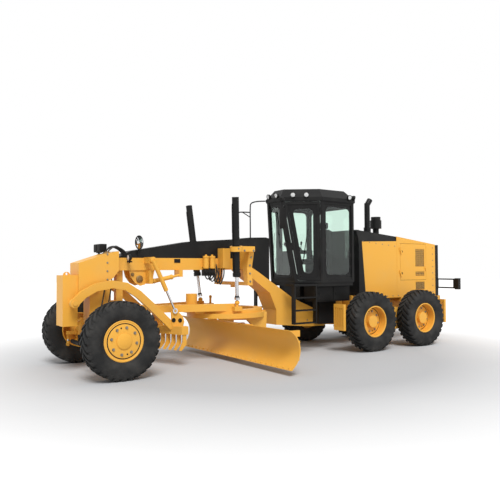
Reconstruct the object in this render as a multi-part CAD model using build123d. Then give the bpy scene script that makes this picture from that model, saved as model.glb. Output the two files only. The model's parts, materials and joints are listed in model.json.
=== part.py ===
from build123d import *
import math
import os

# A motor grader: an articulated machine with six wheels and a blade slung under a long front beam.
# All sizes are in millimetres. X runs forward, Y to the left and Z up from the ground.
# X is 0 between the two rear axles. The written parts are moved so that the rear hitch is the origin.

# Running gear
WHEELBASE = 6123
TANDEM_SPACING = 1523
TRACK = 2132
TYRE_RADIUS = 605
TYRE_WIDTH = 344
TREAD_WIDTH = 300
LUG_COUNT = 26
LUG_HEIGHT = 26
RIM_RADIUS = 305
RIM_WIDTH = 256
RIM_WALL = 14
WHEEL_DISC = 22
FRONT_DISC_OFFSET = 132
REAR_DISC_OFFSET = -40
HUB_RADIUS = 120
GAP = 0.3

# Rear frame and its covers
HITCH_X = 700
RAIL_Y = 300
RAIL_WIDTH = 90
RAIL_BOTTOM = 730
RAIL_TOP = 990
FRAME_REAR = -2080
BUMPER_THICK = 120
BUMPER_HALF = 470
REAR_HITCH_R = 22
REAR_HITCH_THICK = 60
REAR_HITCH_REACH = 130
CASE_WIDTH = 200
CASE_END_RADIUS = 190
CASE_MIDDLE = 250
AXLE_TUBE_R = 170
HOOD_FRONT = 430
HOOD_REAR = -1990
HOOD_HALF = 500
HOOD_BOTTOM = 1020
HOOD_SHEET = 12
DOOR_GAP = 6
SEAM = 3

# Front frame
BEAM_HALF = 150
BEAM_BOTTOM = 1670
BEAM_TOP = 1885
NOSE_HALF = 230
NOSE_FRONT = 6510
BLOCK_HALF = 175
BLOCK_DEPTH = 240
GOOSE_HALF = 230
PLATE = 40
ARTICULATION_LIMIT = 20

# Cab
CAB_FLOOR = 1400
CAB_ROOF = 3050
CAB_TOP = 3300
PILLAR = 60
PANEL = 40
GLASS = 6

# Front axle
KINGPIN_Y = 800
LEAN_Z = 400
KINGPIN_R = 40
STEER_ARM = 240
TIE_ROD_R = 18
TIE_EYE_R = 35
BALL_R = 30

# Blade group
CIRCLE_X = 3570
CIRCLE_RADIUS = 760
CIRCLE_WIDTH = 120
CIRCLE_LOW = 790
CIRCLE_TOP = 880
BALL_X = 5700
DRAWBAR_LOW = 925
DRAWBAR_TOP = 1055
DRAWBAR_WIDTH = 90
BLADE_LENGTH = 3658
BLADE_OFFSET = 550
BLADE_PLATE = 22
BLADE_Z = 95

AXLE_Z = TYRE_RADIUS
WHEEL_Y = TRACK / 2
CASE_OUT = WHEEL_Y - TYRE_WIDTH / 2 - 26
CASE_IN = CASE_OUT - CASE_WIDTH
REAR_HITCH = (FRAME_REAR - BUMPER_THICK - REAR_HITCH_REACH, 0, 850)
LEFT, RIGHT = 1, -1
SIDES = {"left": LEFT, "right": RIGHT}


def block(x, y, z):
    """A box between a low and a high limit on each axis."""
    limits = (x, y, z)
    size = [high - low for low, high in limits]
    middle = [(high + low) / 2 for low, high in limits]
    return Pos(*middle) * Box(*size)


def prism(axis, low, high, points):
    """A flat outline pushed along one axis. Its points hold the other two coordinates in order."""
    place = {"x": lambda a, b: (low, a, b), "y": lambda a, b: (a, low, b), "z": lambda a, b: (a, b, low)}
    way = {"x": (1, 0, 0), "y": (0, 1, 0), "z": (0, 0, 1)}
    outline = Polyline(*[place[axis](*point) for point in points], close=True)
    return extrude(make_face(outline), amount=high - low, dir=way[axis])


def rod(start, end, radius):
    """A round bar from one point to another."""
    start, end = Vector(*start), Vector(*end)
    plane = Plane(origin=start, z_dir=end - start)
    return plane * Cylinder(radius, (end - start).length, align=(Align.CENTER, Align.CENTER, Align.MIN))


def pin(axis, middle, radius, length):
    """A round bar of a given length, centred on a point and along one axis."""
    way = {"x": Vector(1, 0, 0), "y": Vector(0, 1, 0), "z": Vector(0, 0, 1)}[axis] * (length / 2)
    return rod(Vector(*middle) - way, Vector(*middle) + way, radius)


def bar(start, end, width, height):
    """A square-edged bar from one point to another, with its width level and square to its run."""
    start, end = Vector(*start), Vector(*end)
    way = end - start
    level = Vector(0, 0, 1).cross(way)
    level = level if level.length > 1 else Vector(0, 1, 0)
    plane = Plane(origin=start + way / 2, x_dir=level, z_dir=way)
    return plane * Box(width, height, way.length)


def ball(middle, radius):
    return Pos(*middle) * Sphere(radius)


def turned(middle, profile):
    """A ring round the Y axis through a point. Its profile holds offset along Y and radius."""
    x, y, z = middle
    outline = Polyline(*[(x + radius, y + offset, z) for offset, radius in profile], close=True)
    return revolve(make_face(outline), axis=Axis((x, y, z), (0, 1, 0)))


def mirrored(shape):
    return mirror(shape, about=Plane.XZ)


def both(shape):
    """The shape on the left and its mirror image on the right."""
    return [shape, mirrored(shape)]


def sided(shape, side):
    return shape if side == LEFT else mirrored(shape)


def joined(*shapes):
    """One part out of shapes and lists of shapes."""
    flat = []
    for shape in shapes:
        flat += shape if isinstance(shape, list) else [shape]
    return Part() + flat


def tyre(middle):
    """A tyre: its carcass with a band of slanted lugs on each side of the middle, all fused in one solid."""
    half = TYRE_WIDTH / 2
    tread = TREAD_WIDTH / 2
    bead = RIM_WIDTH / 2 - 8
    seat = RIM_RADIUS + GAP
    crown = TYRE_RADIUS - LUG_HEIGHT
    # offset along the axle, radius
    profile = [
        (-bead, seat), (bead, seat), (half - 8, seat + 70), (half, seat + 125), (half - 4, seat + 200),
        (tread, crown - 16), (0, crown), (-tread, crown - 16), (4 - half, seat + 200), (-half, seat + 125),
        (8 - half, seat + 70),
    ]
    shapes = [turned((0, 0, 0), profile)]
    for k in range(LUG_COUNT):
        for hand in SIDES.values():
            turn = (k + (hand - LEFT) / 4) * 360 / LUG_COUNT
            shapes.append(Rot(0, turn, 0) * lug(hand))
    return Pos(*middle) * joined(*shapes)


def lug(hand):
    """One tread lug at the top of a wheel at the origin. It slants forward towards the shoulder."""
    root = TYRE_RADIUS - LUG_HEIGHT - 30
    # along the tread, offset along the axle
    outline = [(-52, 4), (-14, 4), (52, 158), (2, 158)]
    top = math.sqrt(TYRE_RADIUS ** 2 - 52 ** 2)
    return prism("z", root, top, [(x, hand * y) for x, y in outline])


def rim(middle, side, disc_offset, hub_in, hub_out):
    """A wheel rim: its barrel, its disc and the hub that turns on the spindle."""
    x, y, z = middle
    half = RIM_WIDTH / 2
    inner = RIM_RADIUS - RIM_WALL
    barrel = turned(middle, [(-half, inner), (-half, RIM_RADIUS), (half, RIM_RADIUS), (half, inner)])
    disc_in = min(disc_offset, half - WHEEL_DISC)
    disc = pin("y", (x, y + side * (disc_in + WHEEL_DISC / 2), z), inner + 1, WHEEL_DISC)
    hub_low, hub_high = sorted((y + side * hub_in, y + side * hub_out))
    hub = pin("y", (x, (hub_low + hub_high) / 2, z), HUB_RADIUS, hub_high - hub_low)
    return joined(barrel, disc, hub)


def tandem_cases():
    reach = TANDEM_SPACING / 2
    # x, z offset from the axle line
    outline = [
        (-reach, -CASE_END_RADIUS), (0, -CASE_MIDDLE), (reach, -CASE_END_RADIUS),
        (reach, CASE_END_RADIUS), (0, CASE_MIDDLE), (-reach, CASE_END_RADIUS),
    ]
    case = prism("y", CASE_IN, CASE_OUT, [(x, AXLE_Z + z) for x, z in outline])
    ends = [rod((x, CASE_IN, AXLE_Z), (x, CASE_OUT, AXLE_Z), CASE_END_RADIUS) for x in (-reach, reach)]
    spindles = [rod((x, CASE_OUT - 1, AXLE_Z), (x, spindle_end(), AXLE_Z), HUB_RADIUS - 25)
                for x in (-reach, reach)]
    return joined(*both(joined(case, ends, spindles)))


def spindle_end():
    """Where a rear spindle meets its hub, a hair's breadth inside the wheel."""
    return WHEEL_Y - REAR_HUB_REACH - GAP


REAR_HUB_REACH = 150
FRONT_HUB_REACH = 100


def rear_frame():
    """The rear frame: two rails, cross members, the axle housing, the bumper and the articulation ears."""
    head_rear = HITCH_X - 270
    rail = block((FRAME_REAR + GAP, head_rear - GAP), (RAIL_Y - RAIL_WIDTH, RAIL_Y), (RAIL_BOTTOM, RAIL_TOP))
    mounts = [block((x, x + 110), (RAIL_Y - 1, HOOD_HALF), (RAIL_TOP - 60, HOOD_BOTTOM))
              for x in MOUNT_X]
    axle = pin("y", (0, 0, AXLE_Z), AXLE_TUBE_R, 2 * CASE_IN)
    rails = both(joined(rail, *mounts) - pin("y", (0, 0, AXLE_Z), AXLE_TUBE_R + GAP, 2 * CASE_IN))
    inner = RAIL_Y - RAIL_WIDTH - GAP
    cross = [block((x, x + 120), (-inner, inner), (RAIL_BOTTOM + 20, RAIL_TOP - 60)) for x in (-1500, -700)]
    head = block((head_rear, HITCH_X - 140), (-RAIL_Y, RAIL_Y), (EAR_LOW, EAR_HIGH + PLATE))
    ears = [block((HITCH_X - 141, HITCH_X), (-EAR_HALF, EAR_HALF), (z, z + PLATE))
            for z in (EAR_LOW, EAR_HIGH)]
    noses = [pin("z", (HITCH_X, 0, z + PLATE / 2), EAR_HALF, PLATE) for z in (EAR_LOW, EAR_HIGH)]
    low_pin = rod((HITCH_X, 0, EAR_LOW), (HITCH_X, 0, EAR_LOW + PLATE + PIN_REACH), PIVOT_PIN_R)
    high_pin = rod((HITCH_X, 0, EAR_HIGH - PIN_REACH), (HITCH_X, 0, EAR_HIGH + PLATE), PIVOT_PIN_R)
    x, y, z = REAR_HITCH
    bumper = block((FRAME_REAR - BUMPER_THICK, FRAME_REAR), (-BUMPER_HALF, BUMPER_HALF), (640, HOOD_BOTTOM))
    half = REAR_HITCH_THICK / 2
    tongue = block((x, FRAME_REAR - BUMPER_THICK), (-70, 70), (z - half, z + half))
    eye = pin("z", REAR_HITCH, 70, REAR_HITCH_THICK)
    bore = pin("z", REAR_HITCH, REAR_HITCH_R, 2 * REAR_HITCH_THICK)
    tail = joined(bumper, tongue, eye) - bore
    return joined(rails, cross, axle, joined(head, ears, noses, low_pin, high_pin), tail)


MOUNT_X = (-1750, -900, 100)
EAR_LOW = 570
EAR_HIGH = 1050
EAR_HALF = 110
PIN_REACH = 90
PIVOT_PIN_R = 45

# The hood's side outline: X, Z. Its front half is low, because the black cowl lies on top of it.
HOOD_STEP = -660
HOOD_TOP = [(HOOD_FRONT, 2262), (HOOD_STEP, 2292), (HOOD_STEP, 2400), (HOOD_REAR, 2240)]
DOOR_X = (-1657, -782)
DOOR_Z = (1411, 2240)
DOOR_THICK = 20
VENT_X = (-1600, -1290)
DOOR_VENTS = [(1705, 2131), (1490, 1608)]
HOOD_VENT = (1176, 1370)
VENT_DEEP = 7
SLAT = 8


def engine_hood():
    """The yellow hood: a sheet on each side with its door bay and vent, and the sloping top behind."""
    outline = [(HOOD_REAR, HOOD_BOTTOM), (HOOD_FRONT - 114, HOOD_BOTTOM), *HOOD_TOP]
    sheet = prism("y", HOOD_HALF - HOOD_SHEET, HOOD_HALF, outline)
    low, high = DOOR_X
    bay = block((low - DOOR_GAP, high + DOOR_GAP), (HOOD_HALF - HOOD_SHEET - 1, HOOD_HALF + 1),
                (DOOR_Z[0] - DOOR_GAP, DOOR_Z[1] + DOOR_GAP))
    cut = (HOOD_HALF - SEAM, HOOD_HALF + 1)
    seam = block((HOOD_STEP - SEAM, HOOD_STEP + SEAM), cut, (HOOD_BOTTOM - 1, 2500))
    level = block((HOOD_STEP, HOOD_FRONT), cut, (1285, 1285 + 2 * SEAM))
    hinges = [Pos(*ENGINE_HINGE, z) * hinge_half(1, True) for z in ENGINE_HINGE_Z]
    side = joined(sheet - bay - seam - level - vent(HOOD_VENT), hinges)
    inner = HOOD_HALF - HOOD_SHEET - GAP
    top = prism("y", -inner, inner, [(HOOD_REAR, 2240), (HOOD_STEP, 2400), (HOOD_STEP, 2400 - HOOD_SHEET),
                                     (HOOD_REAR, 2240 - HOOD_SHEET)])
    return joined(both(side), top)


def vent(z):
    """The pocket of one vent in the hood's side, with its slats left standing."""
    low, high = z
    pocket = block(VENT_X, (HOOD_HALF - VENT_DEEP, HOOD_HALF + 1), z)
    count = round((high - low) / 45)
    step = (high - low) / count
    slat = block(VENT_X, (HOOD_HALF - VENT_DEEP - 1, HOOD_HALF - 1), (low - SLAT / 2, low + SLAT / 2))
    return pocket - [Pos(0, 0, k * step) * slat for k in range(1, count)]


def hood_outline():
    """Everything under the hood's top and the cowl's, as a solid block."""
    outline = [(HOOD_REAR, HOOD_BOTTOM), (COWL_FRONT, HOOD_BOTTOM), *COWL_TOP, (HOOD_REAR, 2240)]
    return prism("y", -HOOD_HALF, HOOD_HALF, outline)


HINGE_R = 12
HINGE_OUT = HINGE_R + 5
HINGE_LONG = 70
HINGE_LEAF = 40


def hinge_half(way, upper):
    """Half a hinge on an axis at X = Y = 0. Its leaf points one way along X, its back is at -HINGE_OUT."""
    low = HINGE_LONG + GAP if upper else 0
    high = low + HINGE_LONG
    leaf = block(sorted((0, way * HINGE_LEAF)), (-HINGE_OUT, 0), (low, high))
    return joined(rod((0, 0, low), (0, 0, high), HINGE_R), leaf)


ENGINE_HINGE = (DOOR_X[1] + DOOR_GAP / 2, HOOD_HALF + HINGE_OUT)
ENGINE_HINGE_Z = (DOOR_Z[0] + 80, DOOR_Z[1] - 230)


def engine_door(side):
    """The door in the hood's side, hinged at its front edge, with its vents, inner frame and handle."""
    low, high = DOOR_X
    skin = block((low, high), (HOOD_HALF - HOOD_SHEET, HOOD_HALF), DOOR_Z) - [vent(z) for z in DOOR_VENTS]
    frame = block((low + 30, high - 30), (HOOD_HALF - DOOR_THICK, HOOD_HALF - HOOD_SHEET),
                  (DOOR_Z[0] + 30, DOOR_Z[1] - 30))
    handle = block((low + 15, low + 40), (HOOD_HALF, HOOD_HALF + 25), (1640, 1690))
    hinges = [Pos(*ENGINE_HINGE, z) * hinge_half(-1, False) for z in ENGINE_HINGE_Z]
    return sided(joined(skin, frame, handle, *hinges), side)


def engine_block():
    body = block((-1550, 100), (-RAIL_Y + 20, RAIL_Y - 20), (RAIL_TOP + GAP, 1900))
    feet = block((-1450, 0), (RAIL_Y - RAIL_WIDTH + 5, RAIL_Y - 5), (RAIL_TOP, RAIL_TOP + 60))
    return joined(body, both(feet))


STACK_AT = (-70, 170)
STACK_R = 62
PRECLEANER_AT = (-520, 0)
COWL_FRONT = 520
COWL_TOP = [(COWL_FRONT, 2520), (HOOD_STEP + GAP, 2400)]


def hood_cowl():
    """The black cowl: the wall at the hood's front and the cap over its front half, with two pipes."""
    back = HOOD_FRONT + GAP
    wall = [(back - 106, 1100), (COWL_FRONT, 1100), COWL_TOP[0], (back, COWL_TOP[0][1]),
            (back, HOOD_TOP[0][1])]
    cap = [(HOOD_FRONT + 1, HOOD_TOP[0][1] + GAP), *COWL_TOP, (HOOD_STEP + GAP, HOOD_TOP[1][1] + GAP)]
    corner = [(HOOD_HALF + 1, 2280), (HOOD_HALF - 110, 2600), (HOOD_HALF + 1, 2600)]
    slope = prism("x", HOOD_STEP - 1, COWL_FRONT + 1, corner)
    shapes = [prism("y", -HOOD_HALF, HOOD_HALF, wall), prism("y", -HOOD_HALF, HOOD_HALF, cap)]
    return joined(joined(*shapes) - both(slope), exhaust_stack())


def exhaust_stack():
    """The exhaust stack and the air precleaner, cut off at the cowl's top."""
    x, y = STACK_AT
    muffler = rod((x, y, 2200), (x, y, 2600), 80)
    pipe = rod((x, y, 2550), (x, y, 3150), STACK_R) - rod((x, y, 2700), (x, y, 3160), STACK_R - 6)
    spout = rod((x, y, 3110), (x - 90, y, 3230), STACK_R)
    spout -= rod((x, y, 3110), (x - 105, y, 3250), STACK_R - 6)
    px, py = PRECLEANER_AT
    neck = rod((px, py, 2200), (px, py, 2660), 70)
    bowl = rod((px, py, 2600), (px, py, 2790), 130)
    cap = rod((px, py, 2789), (px, py, 2870), 110)
    return joined(muffler, pipe, spout, neck, bowl, cap) - hood_outline()


GUARD_FRAME = 60


def radiator_guard():
    """The black guard behind the radiator: a thick core with a raised border and level bars."""
    rear = HOOD_REAR - GAP
    x = (rear - 110, rear)
    border = block(x, (-HOOD_HALF, HOOD_HALF), (HOOD_BOTTOM, 2230))
    hole = block((x[0] - 1, x[0] + 35), (GUARD_FRAME - HOOD_HALF, HOOD_HALF - GUARD_FRAME),
                 (HOOD_BOTTOM + GUARD_FRAME, 2230 - GUARD_FRAME))
    count = 14
    step = (2230 - HOOD_BOTTOM) / count
    bars = [block((x[0] + 10, x[0] + 36), (1 - HOOD_HALF, HOOD_HALF - 1),
                  (HOOD_BOTTOM + k * step, HOOD_BOTTOM + k * step + 18)) for k in range(1, count)]
    return joined(border - hole, bars)


REAR_LAMP_Z = (1200, 1400)


def rear_lamps():
    """The rear lamps, each at the end of a loop of bar that stands out from the radiator guard."""
    x = (HOOD_REAR - 110 - GAP - 40, HOOD_REAR - 110 - GAP)
    bars = [block(x, (HOOD_HALF - 60, 960), (z, z + 30)) for z in REAR_LAMP_Z]
    posts = [block(x, (y, y + 40), (REAR_LAMP_Z[0], REAR_LAMP_Z[1] + 30)) for y in (HOOD_HALF - 60, 920)]
    lamp = block((x[0] - 50, x[1]), (960, 1060), (REAR_LAMP_Z[0] - 20, REAR_LAMP_Z[1] + 40))
    return joined(*both(joined(bars, posts, lamp)))


GUARD_REACH = {1: 1440, -1: 1600}
GUARD_Y = (760, 1050)


def tandem_guards():
    """The slotted step guards at the front and rear ends of both tandem cases, each on its own arm."""
    shapes = []
    for end, reach in GUARD_REACH.items():
        low, high = sorted((end * reach, end * (reach + 55)))
        plate = block((low, high), GUARD_Y, (450, 970))
        slots = [block((low - 1, high + 1), (y, y + 28), (520, 900))
                 for y in range(GUARD_Y[0] + 40, GUARD_Y[1] - 40, 60)]
        near, far = sorted((end * (TANDEM_SPACING / 2 + CASE_END_RADIUS - 4), end * (reach - GAP)))
        arm = block((near, far), (CASE_IN + 60, CASE_OUT - 2), (AXLE_Z - 60, AXLE_Z + 60))
        nose = pin("y", (end * TANDEM_SPACING / 2, CASE_OUT, AXLE_Z), CASE_END_RADIUS, 2 * CASE_WIDTH + 80)
        shapes += [plate - slots, arm - nose]
    return joined(*both(joined(*shapes)))


# The gooseneck's side outline: X, Z. The top joins the beam to the hitch, the bottom comes back to the beam.
GOOSE_TOP = [(3450, BEAM_TOP), (2970, 1622), (2125, 1086), (1500, 830), (1080, 830)]
GOOSE_LOW = [(1080, 620), (1300, 480), (1750, 492), (2543, 567), (2543, 865), (2700, 1208), (3180, 1546),
             (3320, BEAM_BOTTOM)]
TONGUE = (EAR_LOW + PLATE + GAP, EAR_HIGH - GAP)
NOSE_OUTLINE = [(NOSE_FRONT, 1180), (NOSE_FRONT, 1796), (6070, 1940), (5830, 1995), (5830, BEAM_BOTTOM),
                (5930, 1545)]
BOLSTER_LOW = 800


def front_frame():
    side = [(3320, BEAM_BOTTOM), (5840, BEAM_BOTTOM), (5840, BEAM_TOP), (3450, BEAM_TOP)]
    beam = prism("y", -BEAM_HALF, BEAM_HALF, side)
    goose = prism("y", -GOOSE_HALF, GOOSE_HALF, GOOSE_TOP + GOOSE_LOW)
    tongue = block((HITCH_X, 1090), (5 - EAR_HALF, EAR_HALF - 5), TONGUE)
    tip = pin("z", (HITCH_X, 0, sum(TONGUE) / 2), EAR_HALF - 5, TONGUE[1] - TONGUE[0])
    bores = [rod((HITCH_X, 0, TONGUE[0] - 1), (HITCH_X, 0, TONGUE[0] + PIN_REACH + 5), PIVOT_PIN_R + GAP),
             rod((HITCH_X, 0, TONGUE[1] - PIN_REACH - 5), (HITCH_X, 0, TONGUE[1] + 1), PIVOT_PIN_R + GAP)]
    nose = prism("y", -NOSE_HALF, NOSE_HALF, NOSE_OUTLINE)
    bolster = block((WHEELBASE - 180, WHEELBASE + 180), (-160, 160), (BOLSTER_LOW, 1500))
    post = block((BALL_X - 5, BALL_X + 110), (-60, 60), (BALL_Z - 50, BEAM_BOTTOM + 1))
    brace = block((BALL_X + 100, WHEELBASE - 170), (-60, 60), (BALL_Z - 50, BALL_Z + 110))
    socket = ball((BALL_X, 0, BALL_Z), BALL_HEAD_R + GAP)
    x, z = SCARIFIER_TOP
    near, far = SCARIFIER_EYE_Y
    hanger = block((x - 45, x + 45), (BEAM_HALF - 1, near - 25), (z - 60, z + 45))
    hook = pin("y", (x, (near + far) / 2 - 15, z), EYE_PIN_R, far - near + 30)
    return joined(beam, goose, tongue, tip, nose, bolster, post, brace, hanger, hook) - bores - socket


def link_cylinder():
    """The cylinder that lies along the beam's lower left edge, with its two lugs."""
    rear, front = (4694, LINK_Y, 1585), (5268, LINK_Y, 1470)
    barrel = rod(along(front, rear, 60), along(front, rear, 400), 38)
    shaft = rod(front, rear, 22)
    lugs = [block((x - 35, x + 35), (BEAM_HALF - 60, LINK_Y + 20), (z - 35, BEAM_BOTTOM))
            for x, _, z in (rear, front)]
    return joined(barrel, shaft, lugs)


BALL_Z = 1050
BALL_HEAD_R = 60
COVER_TOP = [(5830, BEAM_TOP), (5600, 2000), (4440, 2190), (3440, 2257), (3120, 2296), (2730, 2309),
             (2650, 2290)]


def slope_z(points, x):
    """Height at X on an outline whose points run from front to rear."""
    for (front, high), (rear, low) in zip(points, points[1:]):
        if rear <= x <= front:
            return low + (high - low) * (x - rear) / (front - rear)
    return points[-1][1]


def beam_cover():
    """The black cover over the beam, which hides its hoses."""
    rear = COVER_TOP[-1][0]
    low = [(rear, slope_z(GOOSE_TOP, rear)), (2970, 1622), (3450, BEAM_TOP)]
    return prism("y", 5 - BEAM_HALF, BEAM_HALF - 5, COVER_TOP + low)


SCARIFIER_PIVOT = (6615, 1155)


def push_block():
    x, z = SCARIFIER_PIVOT
    body = block((NOSE_FRONT, NOSE_FRONT + BLOCK_DEPTH), (-BLOCK_HALF, BLOCK_HALF), (775, 1597))
    eye = pin("y", (NOSE_FRONT + 130, 0, 1597), 55, 40) - pin("y", (NOSE_FRONT + 130, 0, 1620), 22, 60)
    pivots = pin("y", (x, 0, z), SCARIFIER_PIN_R, 2 * (ARM_Y[1] + 20))
    lug = block((6420, NOSE_FRONT + 1), (-90, 90), (775, 840))
    return joined(body, eye, pivots, lug)


ARM_Y = (320, 390)
SCARIFIER_TOP = (5300, 1850)
SCARIFIER_EYE = (4884, 962)
SCARIFIER_EYE_Y = (412, 448)
CHEEK_Y = (378, 408)
SCARIFIER_BARREL = 590
SCARIFIER_INSIDE = 330
EYE_PIN_R = 16
EYE_SLACK = 6
LINK_Y = 270
SCARIFIER_PIN_R = 40


def front_axle():
    # front view of the left half: Y, Z
    half = [(0, 600), (150, 600), (380, 500), (560, 335), (AXLE_END, 335), (AXLE_END, 460),
            (600, 530), (460, 630), (200, BOLSTER_LOW), (0, BOLSTER_LOW)]
    beam = prism("x", WHEELBASE - 110, WHEELBASE + 110, half)
    shapes = [beam]
    for x in (-LEAN_EAR, LEAN_EAR - 35):
        ear = block((WHEELBASE + x, WHEELBASE + x + 35), (AXLE_END - 40, KINGPIN_Y),
                    (LEAN_Z - 65, LEAN_Z + 60))
        shapes += [ear, pin("x", (WHEELBASE + x + 17.5, KINGPIN_Y, LEAN_Z), 60, 35)]
    shaft = pin("x", (WHEELBASE, KINGPIN_Y, LEAN_Z), LEAN_PIN_R, 2 * LEAN_EAR)
    return joined(*both(joined(*shapes, shaft)))


AXLE_END = 640
LEAN_EAR = 120
LEAN_PIN_R = 28
LEAN_HALF = LEAN_EAR - 35 - GAP
KING_LOW = 520
KING_HIGH = 760


def lean_block(side):
    """The block that leans on the axle's end. It carries the kingpin between two arms."""
    web = block((WHEELBASE - LEAN_HALF, WHEELBASE + LEAN_HALF), (KINGPIN_Y - 30, KINGPIN_Y + 50),
                (LEAN_Z, KING_LOW - 20))
    foot = pin("x", (WHEELBASE, KINGPIN_Y, LEAN_Z), 55, 2 * LEAN_HALF)
    arms = [block((WHEELBASE - 60, WHEELBASE + 60), (KINGPIN_Y - 100, KINGPIN_Y + 55), (z, z + 40))
            for z in (KING_LOW - 40, KING_HIGH)]
    back = block((WHEELBASE - 30, WHEELBASE + 30), (KINGPIN_Y - 120, KINGPIN_Y - 80),
                 (KING_LOW - 40, KING_HIGH + 40))
    kingpin = rod((WHEELBASE, KINGPIN_Y, KING_LOW - 30), (WHEELBASE, KINGPIN_Y, KING_HIGH + 60), KINGPIN_R)
    bore = pin("x", (WHEELBASE, KINGPIN_Y, LEAN_Z), LEAN_PIN_R + GAP, 400)
    return sided(joined(web, foot, *arms, back, kingpin) - bore, side)


TIE_STEM_R = 11
STEER_ROD_R = 13
STEER_EYE = 25
STEER_EYE_R = 22
HORN_OUT = 90
STEER_BARREL = (120, 560)
EYE_PLAY = 1


def knuckle(side):
    """The knuckle turns on the kingpin and carries the wheel's spindle and the two steering arms."""
    low, high = KING_LOW + GAP, KING_HIGH - GAP
    rear, front = WHEELBASE - STEER_ARM, WHEELBASE + STEER_ARM
    arm_z = KING_LOW + 40
    sleeve = rod((WHEELBASE, KINGPIN_Y, low), (WHEELBASE, KINGPIN_Y, high), 72)
    spindle = rod((WHEELBASE, KINGPIN_Y, AXLE_Z), (WHEELBASE, WHEEL_Y - FRONT_HUB_REACH - GAP, AXLE_Z), 70)
    tie_arm = block((rear - 20, WHEELBASE), (KINGPIN_Y - 20, KINGPIN_Y + 20), (arm_z - 30, arm_z + 30))
    out = KINGPIN_Y + HORN_OUT
    horn = block((WHEELBASE, front + 14), (out - 30, out), (arm_z - 30, arm_z + 30))
    web = block((WHEELBASE, WHEELBASE + 90), (KINGPIN_Y, out), (arm_z - 30, arm_z + 30))
    drop = block((front - 24, front + 4), (out - 16, out), (LEAN_Z - 60, arm_z + 30))
    shelf = block((front - 14, front + 14), (KINGPIN_Y - 16, out), (LEAN_Z - 60, LEAN_Z - 22))
    head = ball((front, KINGPIN_Y, LEAN_Z), BALL_R)
    bore = rod((WHEELBASE, KINGPIN_Y, low - 1), (WHEELBASE, KINGPIN_Y, high + 1), KINGPIN_R + GAP)
    shapes = [sleeve, spindle, tie_arm, horn, web, drop, shelf, head]
    if side == RIGHT:
        shapes += tie_ball_shapes(arm_z - 29)
    return sided(joined(*shapes) - bore, side)


def tie_ball_shapes(top):
    x = WHEELBASE - STEER_ARM
    stem = rod((x, KINGPIN_Y, LEAN_Z), (x, KINGPIN_Y, top), TIE_STEM_R)
    return [ball((x, KINGPIN_Y, LEAN_Z), BALL_R), stem]


def tie_rod_ball():
    """The ball stud under the left steering arm, on which the tie rod swivels."""
    return joined(*tie_ball_shapes(KING_LOW + 10 - GAP))


def tie_rod():
    """The rod that ties the two steering arms together, with an eye round each ball."""
    x = WHEELBASE - STEER_ARM
    tube = rod((x, -KINGPIN_Y, LEAN_Z), (x, KINGPIN_Y, LEAN_Z), TIE_ROD_R)
    eyes = both(pin("z", (x, KINGPIN_Y, LEAN_Z), TIE_EYE_R, 40))
    sockets = both(ball((x, KINGPIN_Y, LEAN_Z), BALL_R + GAP))
    return joined(tube, *eyes) - sockets


STEER_Z = LEAN_Z + BALL_R + EYE_PLAY + STEER_EYE / 2


def steering_barrels():
    """The two steering cylinders' barrels on the axle's front face."""
    x = WHEELBASE + STEER_ARM
    low, high = STEER_BARREL
    tube = rod((x, low, STEER_Z), (x, high, STEER_Z), 38)
    tube -= rod((x, low + 15, STEER_Z), (x, high + 1, STEER_Z), STEER_ROD_R + GAP)
    saddle = block((WHEELBASE + 110 + GAP, x - 30), (300, 360), (STEER_Z - 25, STEER_Z + 130))
    return both(joined(tube, saddle - rod((x, 200, STEER_Z), (x, 400, STEER_Z), 30)))


def steering_rod(side):
    """One steering cylinder's rod. Its flat eye rests over the ball of the knuckle's front arm."""
    x = WHEELBASE + STEER_ARM
    shaft = rod((x, KINGPIN_Y - 480, STEER_Z), (x, KINGPIN_Y - 20, STEER_Z), STEER_ROD_R)
    eye = pin("z", (x, KINGPIN_Y, STEER_Z), STEER_EYE_R, STEER_EYE)
    return sided(joined(shaft, eye), side)


LIFT_BALL = (3760, 680, 1075)
LIFT_BALL_R = 45
SHIFT_BALL = (3600, -560, 1130)
SHIFT_BALL_R = 32


def drawbar():
    """The A-shaped drawbar: its ball at the front, its legs, and the yoke that carries the circle."""
    middle = (DRAWBAR_LOW + DRAWBAR_TOP) / 2
    height = DRAWBAR_TOP - DRAWBAR_LOW
    x, y, _ = LIFT_BALL
    leg = bar((BALL_X - 230, 45, middle), (x, 600, middle), DRAWBAR_WIDTH, height)
    head = ball((BALL_X, 0, BALL_Z), BALL_HEAD_R)
    neck = rod((BALL_X, 0, BALL_Z), (BALL_X - 260, 0, middle), 40)
    nose = block((BALL_X - 330, BALL_X - 180), (-95, 95), (DRAWBAR_LOW, DRAWBAR_TOP))
    yoke = block((x - 80, x + 80), (-y - 50, y + 50), (DRAWBAR_LOW, DRAWBAR_LOW + 80))
    tie = block((4420, 4520), (-350, 350), (DRAWBAR_LOW, DRAWBAR_TOP - 30))
    outer = CIRCLE_RADIUS - CIRCLE_WIDTH + 50
    plate = rod((CIRCLE_X, 0, CIRCLE_TOP + GAP), (CIRCLE_X, 0, DRAWBAR_LOW + 20), outer)
    plate -= rod((CIRCLE_X, 0, CIRCLE_TOP - 1), (CIRCLE_X, 0, DRAWBAR_LOW + 21), outer - 160)
    motor = rod((4330, 0, DRAWBAR_LOW), (4330, 0, 1230), 105)
    seat = block((4180, 4430), (-330, 330), (CIRCLE_TOP + GAP, DRAWBAR_LOW + 30))
    studs = both(rod((x, y, DRAWBAR_LOW), LIFT_BALL, 28)) + both(ball(LIFT_BALL, LIFT_BALL_R))
    sx, sy, sz = SHIFT_BALL
    shift_stud = [block((sx - 50, x), (sy - 50, sy + 50), (DRAWBAR_LOW, DRAWBAR_LOW + 80)),
                  rod((sx, sy, DRAWBAR_LOW), SHIFT_BALL, 22), ball(SHIFT_BALL, SHIFT_BALL_R)]
    return joined(both(leg), head, neck, nose, yoke, tie, plate, motor, seat, studs, shift_stud)


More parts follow.
